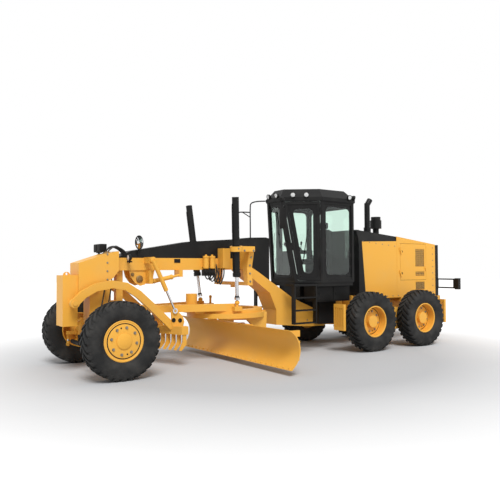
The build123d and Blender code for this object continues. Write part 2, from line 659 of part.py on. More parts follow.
CIRCLE_ARM_Y = (545, 600)
TILT_PIVOT = (3560, 330)
TILT_PIN_R = 30
BRACKET_Y = (470, 535)


def circle():
    """The toothed ring and the two arms that hang from it and carry the blade."""
    ring = rod((CIRCLE_X, 0, CIRCLE_LOW), (CIRCLE_X, 0, CIRCLE_TOP), CIRCLE_RADIUS)
    ring -= rod((CIRCLE_X, 0, CIRCLE_LOW - 1), (CIRCLE_X, 0, CIRCLE_TOP + 1), CIRCLE_RADIUS - CIRCLE_WIDTH)
    px, pz = TILT_PIVOT
    # side view of an arm: X, Z
    outline = [(3900, CIRCLE_TOP - 5), (3900, CIRCLE_LOW - 30), (3480, CIRCLE_LOW - 50), (3350, 620),
               (3330, 480), (3420, 410), (px, pz + 65), (px + 60, pz), (px, pz - 65), (3300, 250),
               (3070, 340), (3040, CIRCLE_TOP - 5)]
    arm = prism("y", *CIRCLE_ARM_Y, outline)
    stub = rod((px, BRACKET_Y[0] + 5, pz), (px, CIRCLE_ARM_Y[1], pz), TILT_PIN_R)
    spreader = block((3060, 3150), (-570, 570), (CIRCLE_LOW - 90, CIRCLE_LOW + 5))
    return joined(ring, both(joined(arm, stub)), spreader)


# The blade's side view: X, Z at the top, the deepest point and the bottom of its front face.
BLADE_TOP = (3890, 722)
BLADE_DEEP = (3686, 400)
BLADE_LOW = (3800, 150)
SHIFT_ROD_AT = (3560, 640)
SHIFT_ROD_R = 30
RAIL_SPAN = (-1200, 2300)
BLADE_Y = (BLADE_OFFSET - BLADE_LENGTH / 2, BLADE_OFFSET + BLADE_LENGTH / 2)
EDGE_HEIGHT = 152
EDGE_THICK = 16


def blade_face():
    """The curved plate's side view as a flat face in the plane of the blade's right end."""
    y = BLADE_Y[0]
    front = [Vector(px, y, pz) for px, pz in (BLADE_TOP, BLADE_DEEP, BLADE_LOW)]
    back = [Vector(px - BLADE_PLATE, y, pz) for px, pz in (BLADE_TOP, BLADE_DEEP, BLADE_LOW)]
    ends = [Line(front[2], back[2]), Line(back[0], front[0])]
    return make_face([ThreePointArc(*front), ends[0], ThreePointArc(*reversed(back)), ends[1]])


def moldboard():
    """The blade: its curved plate, the rails that slide in the bracket, and the side shift rod."""
    plate = extrude(blade_face(), amount=BLADE_LENGTH, dir=(0, 1, 0))
    high_rail = block((3610, 3690), RAIL_SPAN, (500, 540))
    low_rail = block((3625, 3700), RAIL_SPAN, (225, 265))
    x, z = SHIFT_ROD_AT
    shaft = rod((x, 700, z), (x, RAIL_SPAN[1] - 150, z), SHIFT_ROD_R)
    lug = block((x - 45, 3760), (RAIL_SPAN[1] - 160, RAIL_SPAN[1] - 120), (z - 50, z + 50))
    return joined(plate, high_rail, low_rail, shaft, lug) - blade_front()


def blade_front():
    """Everything in front of the curved plate, used to trim what comes through from behind."""
    y = BLADE_Y[0]
    front = [Vector(px, y, pz) for px, pz in (BLADE_TOP, BLADE_DEEP, BLADE_LOW)]
    edges = [ThreePointArc(*front), Line(front[2], front[0])]
    return extrude(make_face(edges), amount=BLADE_LENGTH, dir=(0, 1, 0))


def cutting_edge():
    """The hard steel edge bolted along the blade's foot."""
    x, z = BLADE_LOW
    low_x = x + (z - BLADE_Z) * 0.72
    outline = [(x - BLADE_PLATE, z), (x + 6, z), (low_x + 14, BLADE_Z), (low_x - 8, BLADE_Z)]
    return prism("y", *BLADE_Y, outline)


def tilt_bracket():
    """The bracket that tips the blade. The blade's rails slide along it."""
    px, pz = TILT_PIVOT
    outline = [(px - 60, pz - 60), (3624.7, pz - 60), (3624.7, 490), (3609.7, 490), (3609.7, 690),
               (px - 60, 690)]
    plate = prism("y", *BRACKET_Y, outline) - pin("y", (px, 500, pz), TILT_PIN_R + GAP, 400)
    lip = block((3560, 3660), BRACKET_Y, (540 + GAP, 580))
    sx, sz = SHIFT_ROD_AT
    barrel = rod((sx, -700, sz), (sx, 860, sz), 45) - rod((sx, -685, sz), (sx, 861, sz), SHIFT_ROD_R + GAP)
    bore = rod((sx, -685, sz), (sx, 861, sz), SHIFT_ROD_R + GAP)
    tube = pin("y", (px - 20, 0, 470), 38, 2 * BRACKET_Y[0] + 4)
    return joined(both(joined(plate, lip)), tube, barrel) - bore


LIFT_TRUNNION = (3840, 780, 2050)
LIFT_BARREL_R = 62
LIFT_ROD_R = 32
LIFT_ABOVE = 925
LIFT_BELOW = 510
LIFT_ROD_LENGTH = 1390
EYE_CLEAR = 12


def along(start, end, distance):
    """The point at a distance from start towards end."""
    start, end = Vector(*start), Vector(*end)
    return start + (end - start).normalized() * distance


def lift_barrel(side):
    """A blade lift cylinder's barrel with its trunnion pins."""
    top = along(LIFT_TRUNNION, LIFT_BALL, -LIFT_ABOVE)
    foot = along(LIFT_TRUNNION, LIFT_BALL, LIFT_BELOW)
    tube = rod(top, foot, LIFT_BARREL_R)
    bore = rod(along(LIFT_TRUNNION, LIFT_BALL, 20 - LIFT_ABOVE),
               along(LIFT_TRUNNION, LIFT_BALL, LIFT_BELOW + 1), LIFT_ROD_R + GAP)
    ring = rod(along(LIFT_TRUNNION, LIFT_BALL, LIFT_BELOW - 70),
               along(LIFT_TRUNNION, LIFT_BALL, LIFT_BELOW - 5), LIFT_BARREL_R + 10)
    way = lift_axis()
    middle = Vector(*LIFT_TRUNNION)
    pins = rod(middle - way * TRUNNION_REACH, middle + way * TRUNNION_REACH, 22)
    return sided(joined(tube, ring, pins) - bore, side)


TRUNNION_REACH = 83
YOKE_HOLE_R = TRUNNION_REACH + 3


def lift_axis():
    """The way a left lift barrel turns: square to it and to the drawbar's swing."""
    down = (Vector(*LIFT_BALL) - Vector(*LIFT_TRUNNION)).normalized()
    return down.cross(Vector(1, 0, 0)).normalized()


def lift_rod(side):
    """A blade lift cylinder's rod with the cup that sits over the drawbar's ball."""
    length = (Vector(*LIFT_BALL) - Vector(*LIFT_TRUNNION)).length
    foot = length - LIFT_BALL_R - EYE_CLEAR
    head = along(LIFT_TRUNNION, LIFT_BALL, foot - LIFT_ROD_LENGTH)
    shaft = rod(head, along(LIFT_TRUNNION, LIFT_BALL, foot), LIFT_ROD_R)
    cup = rod(along(LIFT_TRUNNION, LIFT_BALL, foot - 40), along(LIFT_TRUNNION, LIFT_BALL, foot), 50)
    return sided(joined(shaft, cup), side)


SADDLE_X = (3370, 3480)


def lift_saddle():
    """The saddle on the beam that holds the lift cylinders, with the valve block beside the beam."""
    # front view of the left arm: Y, Z
    arm = prism("x", *SADDLE_X, [(BEAM_HALF, 1690), (BEAM_HALF, 1870), (420, 2060), (640, 2095), (650, 1960),
                                 (590, 1720), (610, 1380), (490, 1380), (450, 1680)])
    link = block((SADDLE_X[0] + 10, SADDLE_X[1] - 10), (0, 560), (1375, 1440))
    x, y, z = LIFT_TRUNNION
    way = (Vector(*LIFT_BALL) - Vector(*LIFT_TRUNNION)).normalized()
    middle = Vector(*LIFT_TRUNNION)
    collar = rod(middle - way * 45, middle + way * 45, YOKE_HOLE_R + 28)
    yoke = block((SADDLE_X[0] + 20, x - 60), (y - 190, y - 60), (z - 50, z + 50))
    hole = rod(middle - way * 160, middle + way * 160, YOKE_HOLE_R)
    lug = block((3350, 3450), (-40, 40), (1330, 1400))
    left = joined(arm, link, collar, yoke) - hole
    valve = block((3690, 3850), (BEAM_HALF, 340), (1700, 2070))
    neck = prism("y", -GOOSE_HALF, GOOSE_HALF, GOOSE_TOP + GOOSE_LOW)
    return joined(both(left), lug, valve) - neck


# The scarifier's arms, from the pivot back and down to its block: X, Z
ARM_PATH = [(*SCARIFIER_PIVOT,), (6480, 1290), (6270, 1400), (6000, 1445), (5760, 1405), (5540, 1270),
            (5270, 1030), (4900, 680)]
ARM_HEIGHT = 130
ARM_BOSS_R = 75
TOOTH_COUNT = 11
TOOTH_PITCH = 116
TOOTH_THICK = 25
TOOTH_TIP = 280
VEE_APEX = 5010
VEE_END = 4780
VEE_Z = (556, 696)


def strip(path, width):
    """The closed outline of a band of a given width along a path of flat points."""
    left, right = [], []
    for k, (x, z) in enumerate(path):
        before, after = path[max(k - 1, 0)], path[min(k + 1, len(path) - 1)]
        run = math.hypot(after[0] - before[0], after[1] - before[1])
        across = ((before[1] - after[1]) / run * width / 2, (after[0] - before[0]) / run * width / 2)
        left.append((x + across[0], z + across[1]))
        right.append((x - across[0], z - across[1]))
    return left + right[::-1]


def vee_x(y):
    """X of the V-shaped beam's middle at a given Y."""
    half = TOOTH_PITCH * (TOOTH_COUNT - 1) / 2
    return VEE_APEX - (VEE_APEX - VEE_END) * abs(y) / half


def scarifier():
    """The scarifier ahead of the blade: two arched arms, a V-shaped beam and its row of teeth."""
    shapes = []
    arm = prism("y", *ARM_Y, strip(ARM_PATH, ARM_HEIGHT))
    x_pivot, z_pivot = SCARIFIER_PIVOT
    boss = pin("y", (x_pivot, sum(ARM_Y) / 2, z_pivot), ARM_BOSS_R, ARM_Y[1] - ARM_Y[0])
    shapes += both(joined(arm, boss))
    half = TOOTH_PITCH * (TOOTH_COUNT - 1) / 2 + 25
    beam = [(VEE_APEX + 65, 0), (VEE_END + 65, half), (VEE_END - 65, half), (VEE_APEX - 65, 0),
            (VEE_END - 65, -half), (VEE_END + 65, -half)]
    shapes.append(prism("z", *VEE_Z, beam))
    for k in range(TOOTH_COUNT):
        y = (k - (TOOTH_COUNT - 1) / 2) * TOOTH_PITCH
        x = vee_x(y)
        outline = [(x - 35, VEE_Z[1] + 8), (x + 35, VEE_Z[1] + 8), (x + 35, 430),
                   (x + 100, TOOTH_TIP + 10), (x + 60, TOOTH_TIP), (x - 35, 390)]
        shapes.append(prism("y", y - TOOTH_THICK / 2, y + TOOTH_THICK / 2, outline))
    px, pz = SCARIFIER_EYE
    cheek = [(px + 60, pz - 20), (px, pz + 45), (px - 165, pz - 100), (px - 195, pz - 200),
             (px - 160, pz - 310), (px + 40, 640)]
    shapes += both(prism("y", *CHEEK_Y, cheek))
    shapes.append(rod((px, CHEEK_Y[0], pz), (px, SCARIFIER_EYE_Y[1], pz), EYE_PIN_R))
    bore = pin("y", (x_pivot, 0, z_pivot), SCARIFIER_PIN_R + GAP, 3 * ARM_Y[1])
    return joined(*shapes) - bore


def scarifier_barrel():
    """The scarifier cylinder's barrel, hung beside the beam on the left."""
    y = sum(SCARIFIER_EYE_Y) / 2
    top, eye = (SCARIFIER_TOP[0], y, SCARIFIER_TOP[1]), (SCARIFIER_EYE[0], y, SCARIFIER_EYE[1])
    foot = along(top, eye, SCARIFIER_BARREL)
    boss = pin("y", top, 50, SCARIFIER_EYE_Y[1] - SCARIFIER_EYE_Y[0])
    bore = rod(along(top, eye, 70), along(top, eye, SCARIFIER_BARREL + 1), 20 + GAP)
    hole = pin("y", top, EYE_PIN_R + GAP, 200)
    return joined(rod(top, foot, 38), boss) - bore - hole


def scarifier_rod():
    """The scarifier cylinder's rod. Its eye has play round the pin, which moves on an arc."""
    y = sum(SCARIFIER_EYE_Y) / 2
    top, eye = (SCARIFIER_TOP[0], y, SCARIFIER_TOP[1]), (SCARIFIER_EYE[0], y, SCARIFIER_EYE[1])
    shaft = rod(along(top, eye, SCARIFIER_BARREL - SCARIFIER_INSIDE), eye, 20)
    boss = pin("y", eye, 46, 28)
    return joined(shaft, boss) - pin("y", eye, EYE_PIN_R + EYE_SLACK, 200)


# The cab's plan: X, Y of the front pillar, the door pillar and the rear corner on the left
CAB_FRONT = (2430, 230)
CAB_FOOT = (2205, 407)
CAB_MIDDLE = (1770, 750)
CAB_REAR = (880, 720)
DOOR_TOP = 3030
DOOR_LOW = CAB_FLOOR + PANEL + 6
DOOR_RAIL = 55
SILL = 1500
HEAD = 2990
REAR_SILL = 1900


def cab_plan(grow, front=CAB_FRONT):
    """The cab's plan as a closed outline, grown by a border. The foot's front corner lies further back."""
    left = [(front[0] + grow, front[1] + grow / 2), (CAB_MIDDLE[0], CAB_MIDDLE[1] + grow),
            (CAB_REAR[0] - grow, CAB_REAR[1] + grow)]
    return left + [(x, -y) for x, y in reversed(left)]


def front_corner(z):
    """The cab's left front corner at a height. The front pillars lean forward from the foot to the roof."""
    share = (z - CAB_FLOOR) / (CAB_ROOF - CAB_FLOOR)
    return tuple(foot + (top - foot) * share for foot, top in zip(CAB_FOOT, CAB_FRONT))


def front_slab(low, high, inset, back, thick):
    """A sheet across the cab's sloping front, set in from the corners and back from the face."""
    (low_x, low_y), (high_x, high_y) = front_corner(low), front_corner(high)
    corners = [(low_x - back, inset - low_y, low), (low_x - back, low_y - inset, low),
               (high_x - back, high_y - inset, high), (high_x - back, inset - high_y, high)]
    outline = Polyline(*corners, close=True)
    return extrude(make_face(outline), amount=thick, dir=(-1, 0, 0))


def front_post():
    """The leaning left front pillar, between the windscreen and the door's latch edge."""
    fx, fy = CAB_FOOT
    latch = door_width(CAB_FLOOR) + DOOR_GAP
    foot = [(fx, fy), (fx, fy - PILLAR), (fx - PILLAR, fy - PILLAR), at_door(latch, -PANEL),
            at_door(latch, 0)]
    lean = Vector(CAB_FRONT[0] - fx, CAB_FRONT[1] - fy, CAB_ROOF - CAB_FLOOR)
    outline = Polyline(*[(x, y, CAB_FLOOR) for x, y in foot], close=True)
    return extrude(make_face(outline), amount=lean.length, dir=lean.normalized())


def cab_shell():
    """The cab's floor, pillars, rails and roof. It is hollow, and open where the glass and doors go."""
    floor = prism("z", CAB_FLOOR, CAB_FLOOR + PANEL, cab_plan(0, CAB_FOOT))
    header = prism("z", DOOR_TOP + 6, CAB_ROOF, cab_plan(10))
    eave = prism("z", CAB_ROOF - 1, CAB_ROOF + 70, cab_plan(20))
    crown = extrude(Plane.XY.offset(CAB_ROOF + 69) * make_face(Polyline(*cab_plan(5), close=True)),
                    amount=CAB_TOP - CAB_ROOF - 69, taper=40)
    shapes = [floor, header, eave, crown, *both(front_post())]
    plane = door_frame_plane()
    (mx, my), (rx, ry) = CAB_MIDDLE, CAB_REAR
    posts = [
        [(mx, my), at_door(-DOOR_GAP, 0), at_door(-DOOR_GAP, -PANEL), (mx - PILLAR, my - PILLAR),
         (mx - PILLAR, my)],
        [(rx, ry), (rx, ry - PILLAR), (rx + PILLAR, ry - PILLAR), (rx + PILLAR, ry)],
    ]
    for post in posts:
        shapes += both(prism("z", CAB_FLOOR, CAB_ROOF, post))
    for z in CAB_HINGE_Z:
        shapes += both(plane * (Pos(-HINGE_OFF, HINGE_OUT, z) * hinge_half(-1, True)))
    for low, high in ((CAB_FLOOR + PANEL - 1, SILL), (HEAD, CAB_ROOF - 5)):
        shapes += both(panel(CAB_MIDDLE, CAB_REAR, low, high))
        shapes.append(front_slab(low, high, 5, 10, PANEL))
    rear = (rx + 10, rx + 50)
    shapes.append(block(rear, (5 - ry, ry - 5), (CAB_FLOOR + PANEL - 1, REAR_SILL)))
    shapes.append(block(rear, (5 - ry, ry - 5), (HEAD, CAB_ROOF - 5)))
    return joined(*shapes)


def panel(start, end, low, high):
    """An upright panel between two pillars of the left side."""
    (x0, y0), (x1, y1) = start, end
    y0, y1 = y0 - 10, y1 - 10
    return prism("z", low, high, [(x0, y0), (x1, y1), (x1, y1 - PANEL), (x0, y0 - PANEL)])


def cab_glass():
    """The fixed panes: front, rear and both sides."""
    front = front_slab(SILL + GAP, HEAD - GAP, PILLAR + GAP, 27, GLASS)
    rx, ry = CAB_REAR
    rear = block((rx + 27, rx + 27 + GLASS), (PILLAR - ry + GAP, ry - PILLAR - GAP),
                 (REAR_SILL + GAP, HEAD - GAP))
    mx, my = CAB_MIDDLE
    side = prism("z", SILL + GAP, HEAD - GAP, [
        (mx - PILLAR - GAP, my - 27), (rx + PILLAR + GAP, ry - 27), (rx + PILLAR + GAP, ry - 27 - GLASS),
        (mx - PILLAR - GAP, my - 27 - GLASS)])
    return joined(front, rear, both(side))


def door_frame_plane():
    """The left door's own frame: its hinge line is the origin, X runs along the door to its latch."""
    hinge, latch = Vector(*CAB_MIDDLE), Vector(*CAB_FRONT)
    along_door = (latch - hinge).normalized()
    start = hinge + along_door * (PILLAR / 2 + 15)
    return Plane(origin=(start.X, start.Y, 0), x_dir=(along_door.X, along_door.Y, 0), z_dir=(0, 0, 1))


def at_door(x, y):
    """The plan position of a point given along the left door and out from its face."""
    point = door_frame_plane().from_local_coords(Vector(x, y, 0))
    return (point.X, point.Y)


HINGE_OFF = DOOR_GAP / 2
CAB_HINGE_Z = (1560, 2150, 2760)


def door_width(z):
    """The cab door's width at a height, up to its leaning front edge."""
    return (Vector(*front_corner(z)) - Vector(*CAB_MIDDLE)).length - PILLAR - 60


def door_slab(inset, deep):
    """A sheet with the door's outline, set in from its edges. Deep holds its inner and outer face."""
    low, high = DOOR_LOW + inset, DOOR_TOP - inset
    outline = [(inset, low), (door_width(low) - inset, low), (door_width(high) - inset, high), (inset, high)]
    return prism("y", *deep, outline)


def cab_door(side):
    leaf = door_slab(0, (-PANEL, 0)) - door_slab(DOOR_RAIL, (-PANEL - 1, 1))
    grip = door_width(1650)
    handle = block((grip - 50, grip - 25), (0, 30), (1650, 1850))
    hinges = [Pos(-HINGE_OFF, HINGE_OUT, z) * hinge_half(1, False) for z in CAB_HINGE_Z]
    return sided(door_frame_plane() * joined(leaf, handle, *hinges), side)


def door_glass(side):
    pane = door_slab(DOOR_RAIL + GAP, (-PANEL / 2 - GLASS / 2, GLASS / 2 - PANEL / 2))
    return sided(door_frame_plane() * pane, side)


def operator_station():
    """The two armrest consoles on their posts, the seat's pedestal and the dash with its steering wheel."""
    floor = CAB_FLOOR + PANEL
    pedestal = block((1180, 1480), (-150, 150), (floor, floor + 330))
    arms = both(block((1180, 1600), (260, 350), (floor + 560, floor + 640)))
    posts = both(block((1180, 1280), (260, 350), (floor, floor + 560 - GAP)))
    dash = prism("y", -110, 110, [(2010, floor), (2130, floor), (2130, floor + 560), (2050, floor + 560)])
    column = rod((2070, 0, floor + 420), (1950, 0, floor + 690), 30)
    wheel = rod((1950, 0, floor + 690), (1939, 0, floor + 712), 190)
    return joined(pedestal, arms, posts, joined(dash, column, wheel))


def operator_seat():
    """The seat: its cushion, its back and its head rest."""
    floor = CAB_FLOOR + PANEL
    cushion = block((1165, 1590), (-250, 250), (floor + 330 + GAP, floor + 450))
    back = block((1040, 1160), (-240, 240), (floor + 400, floor + 1080))
    foot = block((1100, 1166), (-200, 200), (floor + 400, floor + 450))
    head = block((1050, 1130), (-130, 130), (floor + 1079, floor + 1230))
    return joined(cushion, back, foot, head)


LADDER_X = (1880, 2450)
LADDER_Y = (600, 700)


def cab_base():
    """What carries the cab on the gooseneck: the deck, the pedestal and the boxes on both sides."""
    deck = prism("z", 1331, CAB_FLOOR, cab_plan(-20, CAB_FOOT))
    pedestal = block((1110, 1900), (-180, 180), (700, 1331 - GAP))
    pedestal -= prism("y", -200, 200, GOOSE_TOP + [(1080, 400), (3450, 400)])
    high_box = block((900, 1840), (GOOSE_HALF, 600), (1010, 1331 - GAP))
    low_box = block((1108, 1580), (GOOSE_HALF, 400), (540, 1010 - GAP))
    return joined(deck, pedestal, both(high_box), both(low_box))


def cab_ladders():
    """The ladder on each side with the landing that joins it to the deck."""
    landing = block(LADDER_X, (407, LADDER_Y[1]), (1340, 1380))
    deck = prism("z", 1300, 1400, cab_plan(GAP - 20, CAB_FOOT))
    rails = [block((x - 15, x + 15), LADDER_Y, (600, 1341)) for x in (LADDER_X[0] + 15, LADDER_X[1] - 15)]
    rungs = [block(LADDER_X, LADDER_Y, (z, z + 25)) for z in (600, 850, 1100)]
    return joined(*both(joined(landing, rails, rungs) - deck))


def lamps_and_mirrors():
    """The lamps beside the beam and on the nose, and the mirrors ahead of the cab on their bars."""
    arm = block((5620, 5660), (BEAM_HALF, 300), (1800, 1840))
    lamp = block((5600, 5720), (240, 360), (1839, 1930))
    x, y = CAB_FRONT
    root = block((x + 20, x + 60), (y - 40, y), (3060, 3100))
    stem = bar((x + 40, y - 20, 3080), (2830, 850, 2830), 25, 25)
    glass = block((2810, 2850), (750, 950), (2440, 2830))
    post = block((6000, 6040), (-230, -200), (1900, 1990))
    box = block((5970, 6060), (-400, -60), (1975, 2125))
    nose = prism("y", -NOSE_HALF, NOSE_HALF, NOSE_OUTLINE)
    return joined(*both(joined(arm, lamp)), *both(joined(root, stem, glass)), joined(post, box) - nose)


def wheel_places():
    """Each wheel's name with its middle, its side and whether it is a front wheel."""
    reach = TANDEM_SPACING / 2
    places = {}
    for word, side in SIDES.items():
        places[f"front_{word}"] = ((WHEELBASE, side * WHEEL_Y, AXLE_Z), side, True)
        places[f"middle_{word}"] = ((reach, side * WHEEL_Y, AXLE_Z), side, False)
        places[f"rear_{word}"] = ((-reach, side * WHEEL_Y, AXLE_Z), side, False)
    return places


def wheel_rim(middle, side, front):
    if front:
        return rim(middle, side, FRONT_DISC_OFFSET, -FRONT_HUB_REACH, FRONT_DISC_OFFSET + 20)
    return rim(middle, side, REAR_DISC_OFFSET, -REAR_HUB_REACH, 70)


def all_parts():
    """Every part under its name, in the machine's own coordinates."""
    parts = {
        "rear_frame": rear_frame(),
        "tandem_cases": tandem_cases(),
        "tandem_guards": tandem_guards(),
        "engine_block": engine_block(),
        "engine_hood": engine_hood(),
        "hood_cowl": hood_cowl(),
        "radiator_guard": radiator_guard(),
        "front_frame": front_frame(),
        "beam_cover": beam_cover(),
        "push_block": push_block(),
        "link_cylinder": link_cylinder(),
        "front_axle": front_axle(),
        "steering_barrels": joined(*steering_barrels()),
        "lift_saddle": lift_saddle(),
        "cab_base": cab_base(),
        "cab_ladders": cab_ladders(),
        "cab_shell": cab_shell(),
        "cab_glass": cab_glass(),
        "operator_station": operator_station(),
        "operator_seat": operator_seat(),
        "lamps_and_mirrors": lamps_and_mirrors(),
        "rear_lamps": rear_lamps(),
        "drawbar": drawbar(),
        "circle": circle(),
        "tilt_bracket": tilt_bracket(),
        "moldboard": moldboard(),
        "cutting_edge": cutting_edge(),
        "scarifier": scarifier(),
        "scarifier_barrel": scarifier_barrel(),
        "scarifier_rod": scarifier_rod(),
        "tie_rod_ball": tie_rod_ball(),
        "tie_rod": tie_rod(),
    }
    for word, side in SIDES.items():
        parts[f"engine_door_{word}"] = engine_door(side)
        parts[f"cab_door_{word}"] = cab_door(side)
        parts[f"door_glass_{word}"] = door_glass(side)
        parts[f"lean_block_{word}"] = lean_block(side)
        parts[f"knuckle_{word}"] = knuckle(side)
        parts[f"steering_rod_{word}"] = steering_rod(side)
        parts[f"lift_barrel_{word}"] = lift_barrel(side)
        parts[f"lift_rod_{word}"] = lift_rod(side)
    for word, (middle, side, front) in wheel_places().items():
        parts[f"tyre_{word}"] = tyre(middle)
        parts[f"rim_{word}"] = wheel_rim(middle, side, front)
    return parts


def main():
    os.makedirs("parts", exist_ok=True)
    to_hitch = Pos(*[-value for value in REAR_HITCH])
    for name, shape in all_parts().items():
        export_step(to_hitch * shape, f"parts/{name}.step")


if __name__ == "__main__":
    main()
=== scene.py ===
# %% [markdown]
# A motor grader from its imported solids.
# The frame holds every steel part at its real place. This script gives them their finishes and adds the
# small things that catch the eye: tread, bolts, hoses, lamps and the printed borders of the glass. It
# starts by loading that frame.

import json
import math

import bmesh
import bpy
from mathutils import Matrix, Vector
from mathutils.bvhtree import BVHTree


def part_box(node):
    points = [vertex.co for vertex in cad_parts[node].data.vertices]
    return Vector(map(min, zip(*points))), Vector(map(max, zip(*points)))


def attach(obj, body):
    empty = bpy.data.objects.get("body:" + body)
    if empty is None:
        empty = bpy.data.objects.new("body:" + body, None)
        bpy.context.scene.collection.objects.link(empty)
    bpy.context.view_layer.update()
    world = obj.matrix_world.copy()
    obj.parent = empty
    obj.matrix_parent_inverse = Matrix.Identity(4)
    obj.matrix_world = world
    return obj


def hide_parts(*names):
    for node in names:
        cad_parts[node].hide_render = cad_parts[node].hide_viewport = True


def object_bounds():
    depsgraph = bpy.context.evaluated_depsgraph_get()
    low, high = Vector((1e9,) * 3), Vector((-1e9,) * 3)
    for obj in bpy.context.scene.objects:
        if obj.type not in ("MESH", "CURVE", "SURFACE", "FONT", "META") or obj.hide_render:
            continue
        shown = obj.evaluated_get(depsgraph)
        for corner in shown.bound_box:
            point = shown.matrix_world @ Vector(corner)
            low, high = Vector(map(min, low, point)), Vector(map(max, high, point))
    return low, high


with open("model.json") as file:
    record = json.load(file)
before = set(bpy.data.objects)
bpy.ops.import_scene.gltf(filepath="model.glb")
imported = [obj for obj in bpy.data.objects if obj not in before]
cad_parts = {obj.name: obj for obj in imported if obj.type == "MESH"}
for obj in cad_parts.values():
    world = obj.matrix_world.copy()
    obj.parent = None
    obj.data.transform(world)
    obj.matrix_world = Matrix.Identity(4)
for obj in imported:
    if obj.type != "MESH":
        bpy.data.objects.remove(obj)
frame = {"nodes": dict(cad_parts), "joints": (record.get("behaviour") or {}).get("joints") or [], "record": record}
CAD_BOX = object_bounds()

# %% [markdown]
# A maker measures a grader from the middle of its tandem axles and from the ground. The frame's origin is
# the rear hitch, so one small function turns a maker's measure into a place.

# %% Places on the machine
JOINTS = {joint["name"]: joint for joint in frame["joints"]}


def joint_place(name):
    return Vector(JOINTS[name]["pos_m"])


TANDEM = (joint_place("wheel_middle_left_spin") + joint_place("wheel_rear_right_spin")) / 2
GROUND = CAD_BOX[0][2]


def at(x, y, z):
    """A place in metres: forward of the tandem's middle, left of the centre line, above the ground."""
    return Vector((TANDEM.x + x, TANDEM.y + y, GROUND + z))


def middle_of(node):
    """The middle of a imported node's box."""
    low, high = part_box(node)
    return (Vector(low) + Vector(high)) / 2


def add_object(name, data):
    made = bpy.data.objects.new(name, data)
    bpy.context.scene.collection.objects.link(made)
    return made


SIDES = {"left": 1, "right": -1}
WHEELS = [(place, word, side) for place in ("front", "middle", "rear") for word, side in SIDES.items()]
TYRE_RADIUS = TANDEM.z - GROUND
print("tyre radius", round(TYRE_RADIUS, 3))

# %% [markdown]
# Shader maths reads best as plain sums. The first class wraps one socket, so that `1 - mask * 0.3` adds the
# Math nodes by itself. Any other node comes from one method of the second class, which makes a material.

# %% A small language for shaders
class Wire:
    """One output socket. Sums on it add Math nodes to its tree."""

    def __init__(self, maker, socket):
        self.maker = maker
        self.socket = socket

    def _math(self, operation, first, second):
        return self.maker.node("ShaderNodeMath", {"operation": operation}, {0: first, 1: second})

    def __add__(self, other):
        return self._math("ADD", self, other)

    def __radd__(self, other):
        return self._math("ADD", other, self)

    def __sub__(self, other):
        return self._math("SUBTRACT", self, other)

    def __rsub__(self, other):
        return self._math("SUBTRACT", other, self)

    def __mul__(self, other):
        return self._math("MULTIPLY", self, other)

    def __rmul__(self, other):
        return self._math("MULTIPLY", other, self)


class Finish:
    """A material under construction, with its Principled shader ready."""

    def __init__(self, name, **values):
        self.material = bpy.data.materials.new(name)
        self.material.use_nodes = True
        self.tree = self.material.node_tree
        self.shader = self.tree.nodes["Principled BSDF"]
        for socket, value in values.items():
            self.set(socket.replace("_", " "), value)

    def node(self, kind, settings=None, values=None, output=0):
        """Adds a node: its settings first, then the values or links of its sockets."""
        node = self.tree.nodes.new(kind)
        for name, value in (settings or {}).items():
            setattr(node, name, value)
        for key, value in (values or {}).items():
            self._feed(node.inputs[key], value)
        return Wire(self, node.outputs[output])

    def _feed(self, socket, value):
        if isinstance(value, Wire):
            self.tree.links.new(value.socket, socket)
        elif isinstance(value, tuple) and len(value) == 3 and socket.type == "RGBA":
            socket.default_value = (*value, 1)
        else:
            socket.default_value = value

    def set(self, socket, value):
        self._feed(self.shader.inputs[socket], value)

    def place(self):
        return self.node("ShaderNodeTexCoord", output=3)

    def noise(self, scale, detail=3.0, rough=0.5):
        return self.node("ShaderNodeTexNoise", values={
            "Vector": self.place(), "Scale": scale, "Detail": detail, "Roughness": rough})

    def blend(self, mask, first, second):
        return self.node("ShaderNodeMix", {"data_type": "RGBA"}, {0: mask, 6: first, 7: second}, output=2)

    def color(self, mask, first, second):
        self.set("Base Color", self.blend(mask, first, second))

    def bump(self, height, strength, distance):
        self.set("Normal", self.node("ShaderNodeBump", values={
            "Height": height, "Strength": strength, "Distance": distance}))

    def grey(self, wire, low, high):
        """A soft mask from 0 to 1 between two levels of a texture."""
        return self.node("ShaderNodeMapRange", {"clamp": True}, {0: wire, 1: low, 2: high, 3: 0.0, 4: 1.0})


def drifting(name, scale, dark, bright, rough, rough_scale, rough_span, **values):
    """A finish whose colour and roughness drift a little, each by a noise of its own scale."""
    finish = Finish(name, **values)
    finish.color(finish.noise(scale), dark, bright)
    finish.set("Roughness", rough + finish.noise(rough_scale) * rough_span)
    return finish.material


print("shader helpers ready")

# %% [markdown]
# The machine's paint is a warm yellow enamel. Real enamel is never one flat colour: it has a faint
# orange peel and dusty patches that are a little duller.

# %% Yellow enamel
YELLOW = (0.80, 0.405, 0.056)
YELLOW_DUST = (0.70, 0.42, 0.12)


def yellow_enamel():
    paint = Finish("yellow_enamel", Coat_Weight=0.06, Coat_Roughness=0.3, Specular_IOR_Level=0.25)
    dust = paint.grey(paint.noise(2.3, 4.0), 0.48, 0.80)
    paint.color(dust * 0.35, YELLOW, YELLOW_DUST)
    paint.set("Roughness", 0.40 + dust * 0.16 + paint.noise(35.0) * 0.06)
    paint.bump(paint.noise(260.0, 2.0), 0.05, 0.0006)
    return paint.material


ENAMEL = yellow_enamel()
print(ENAMEL.name, len(ENAMEL.node_tree.nodes))

# %% [markdown]
# The cab and the beam cover are painted black. The black is satin, so that it shows its edges as soft grey
# lines, and it has the same dust as the yellow.

# %% Black enamel
BLACK = (0.011, 0.011, 0.011)
BLACK_DUST = (0.030, 0.029, 0.027)


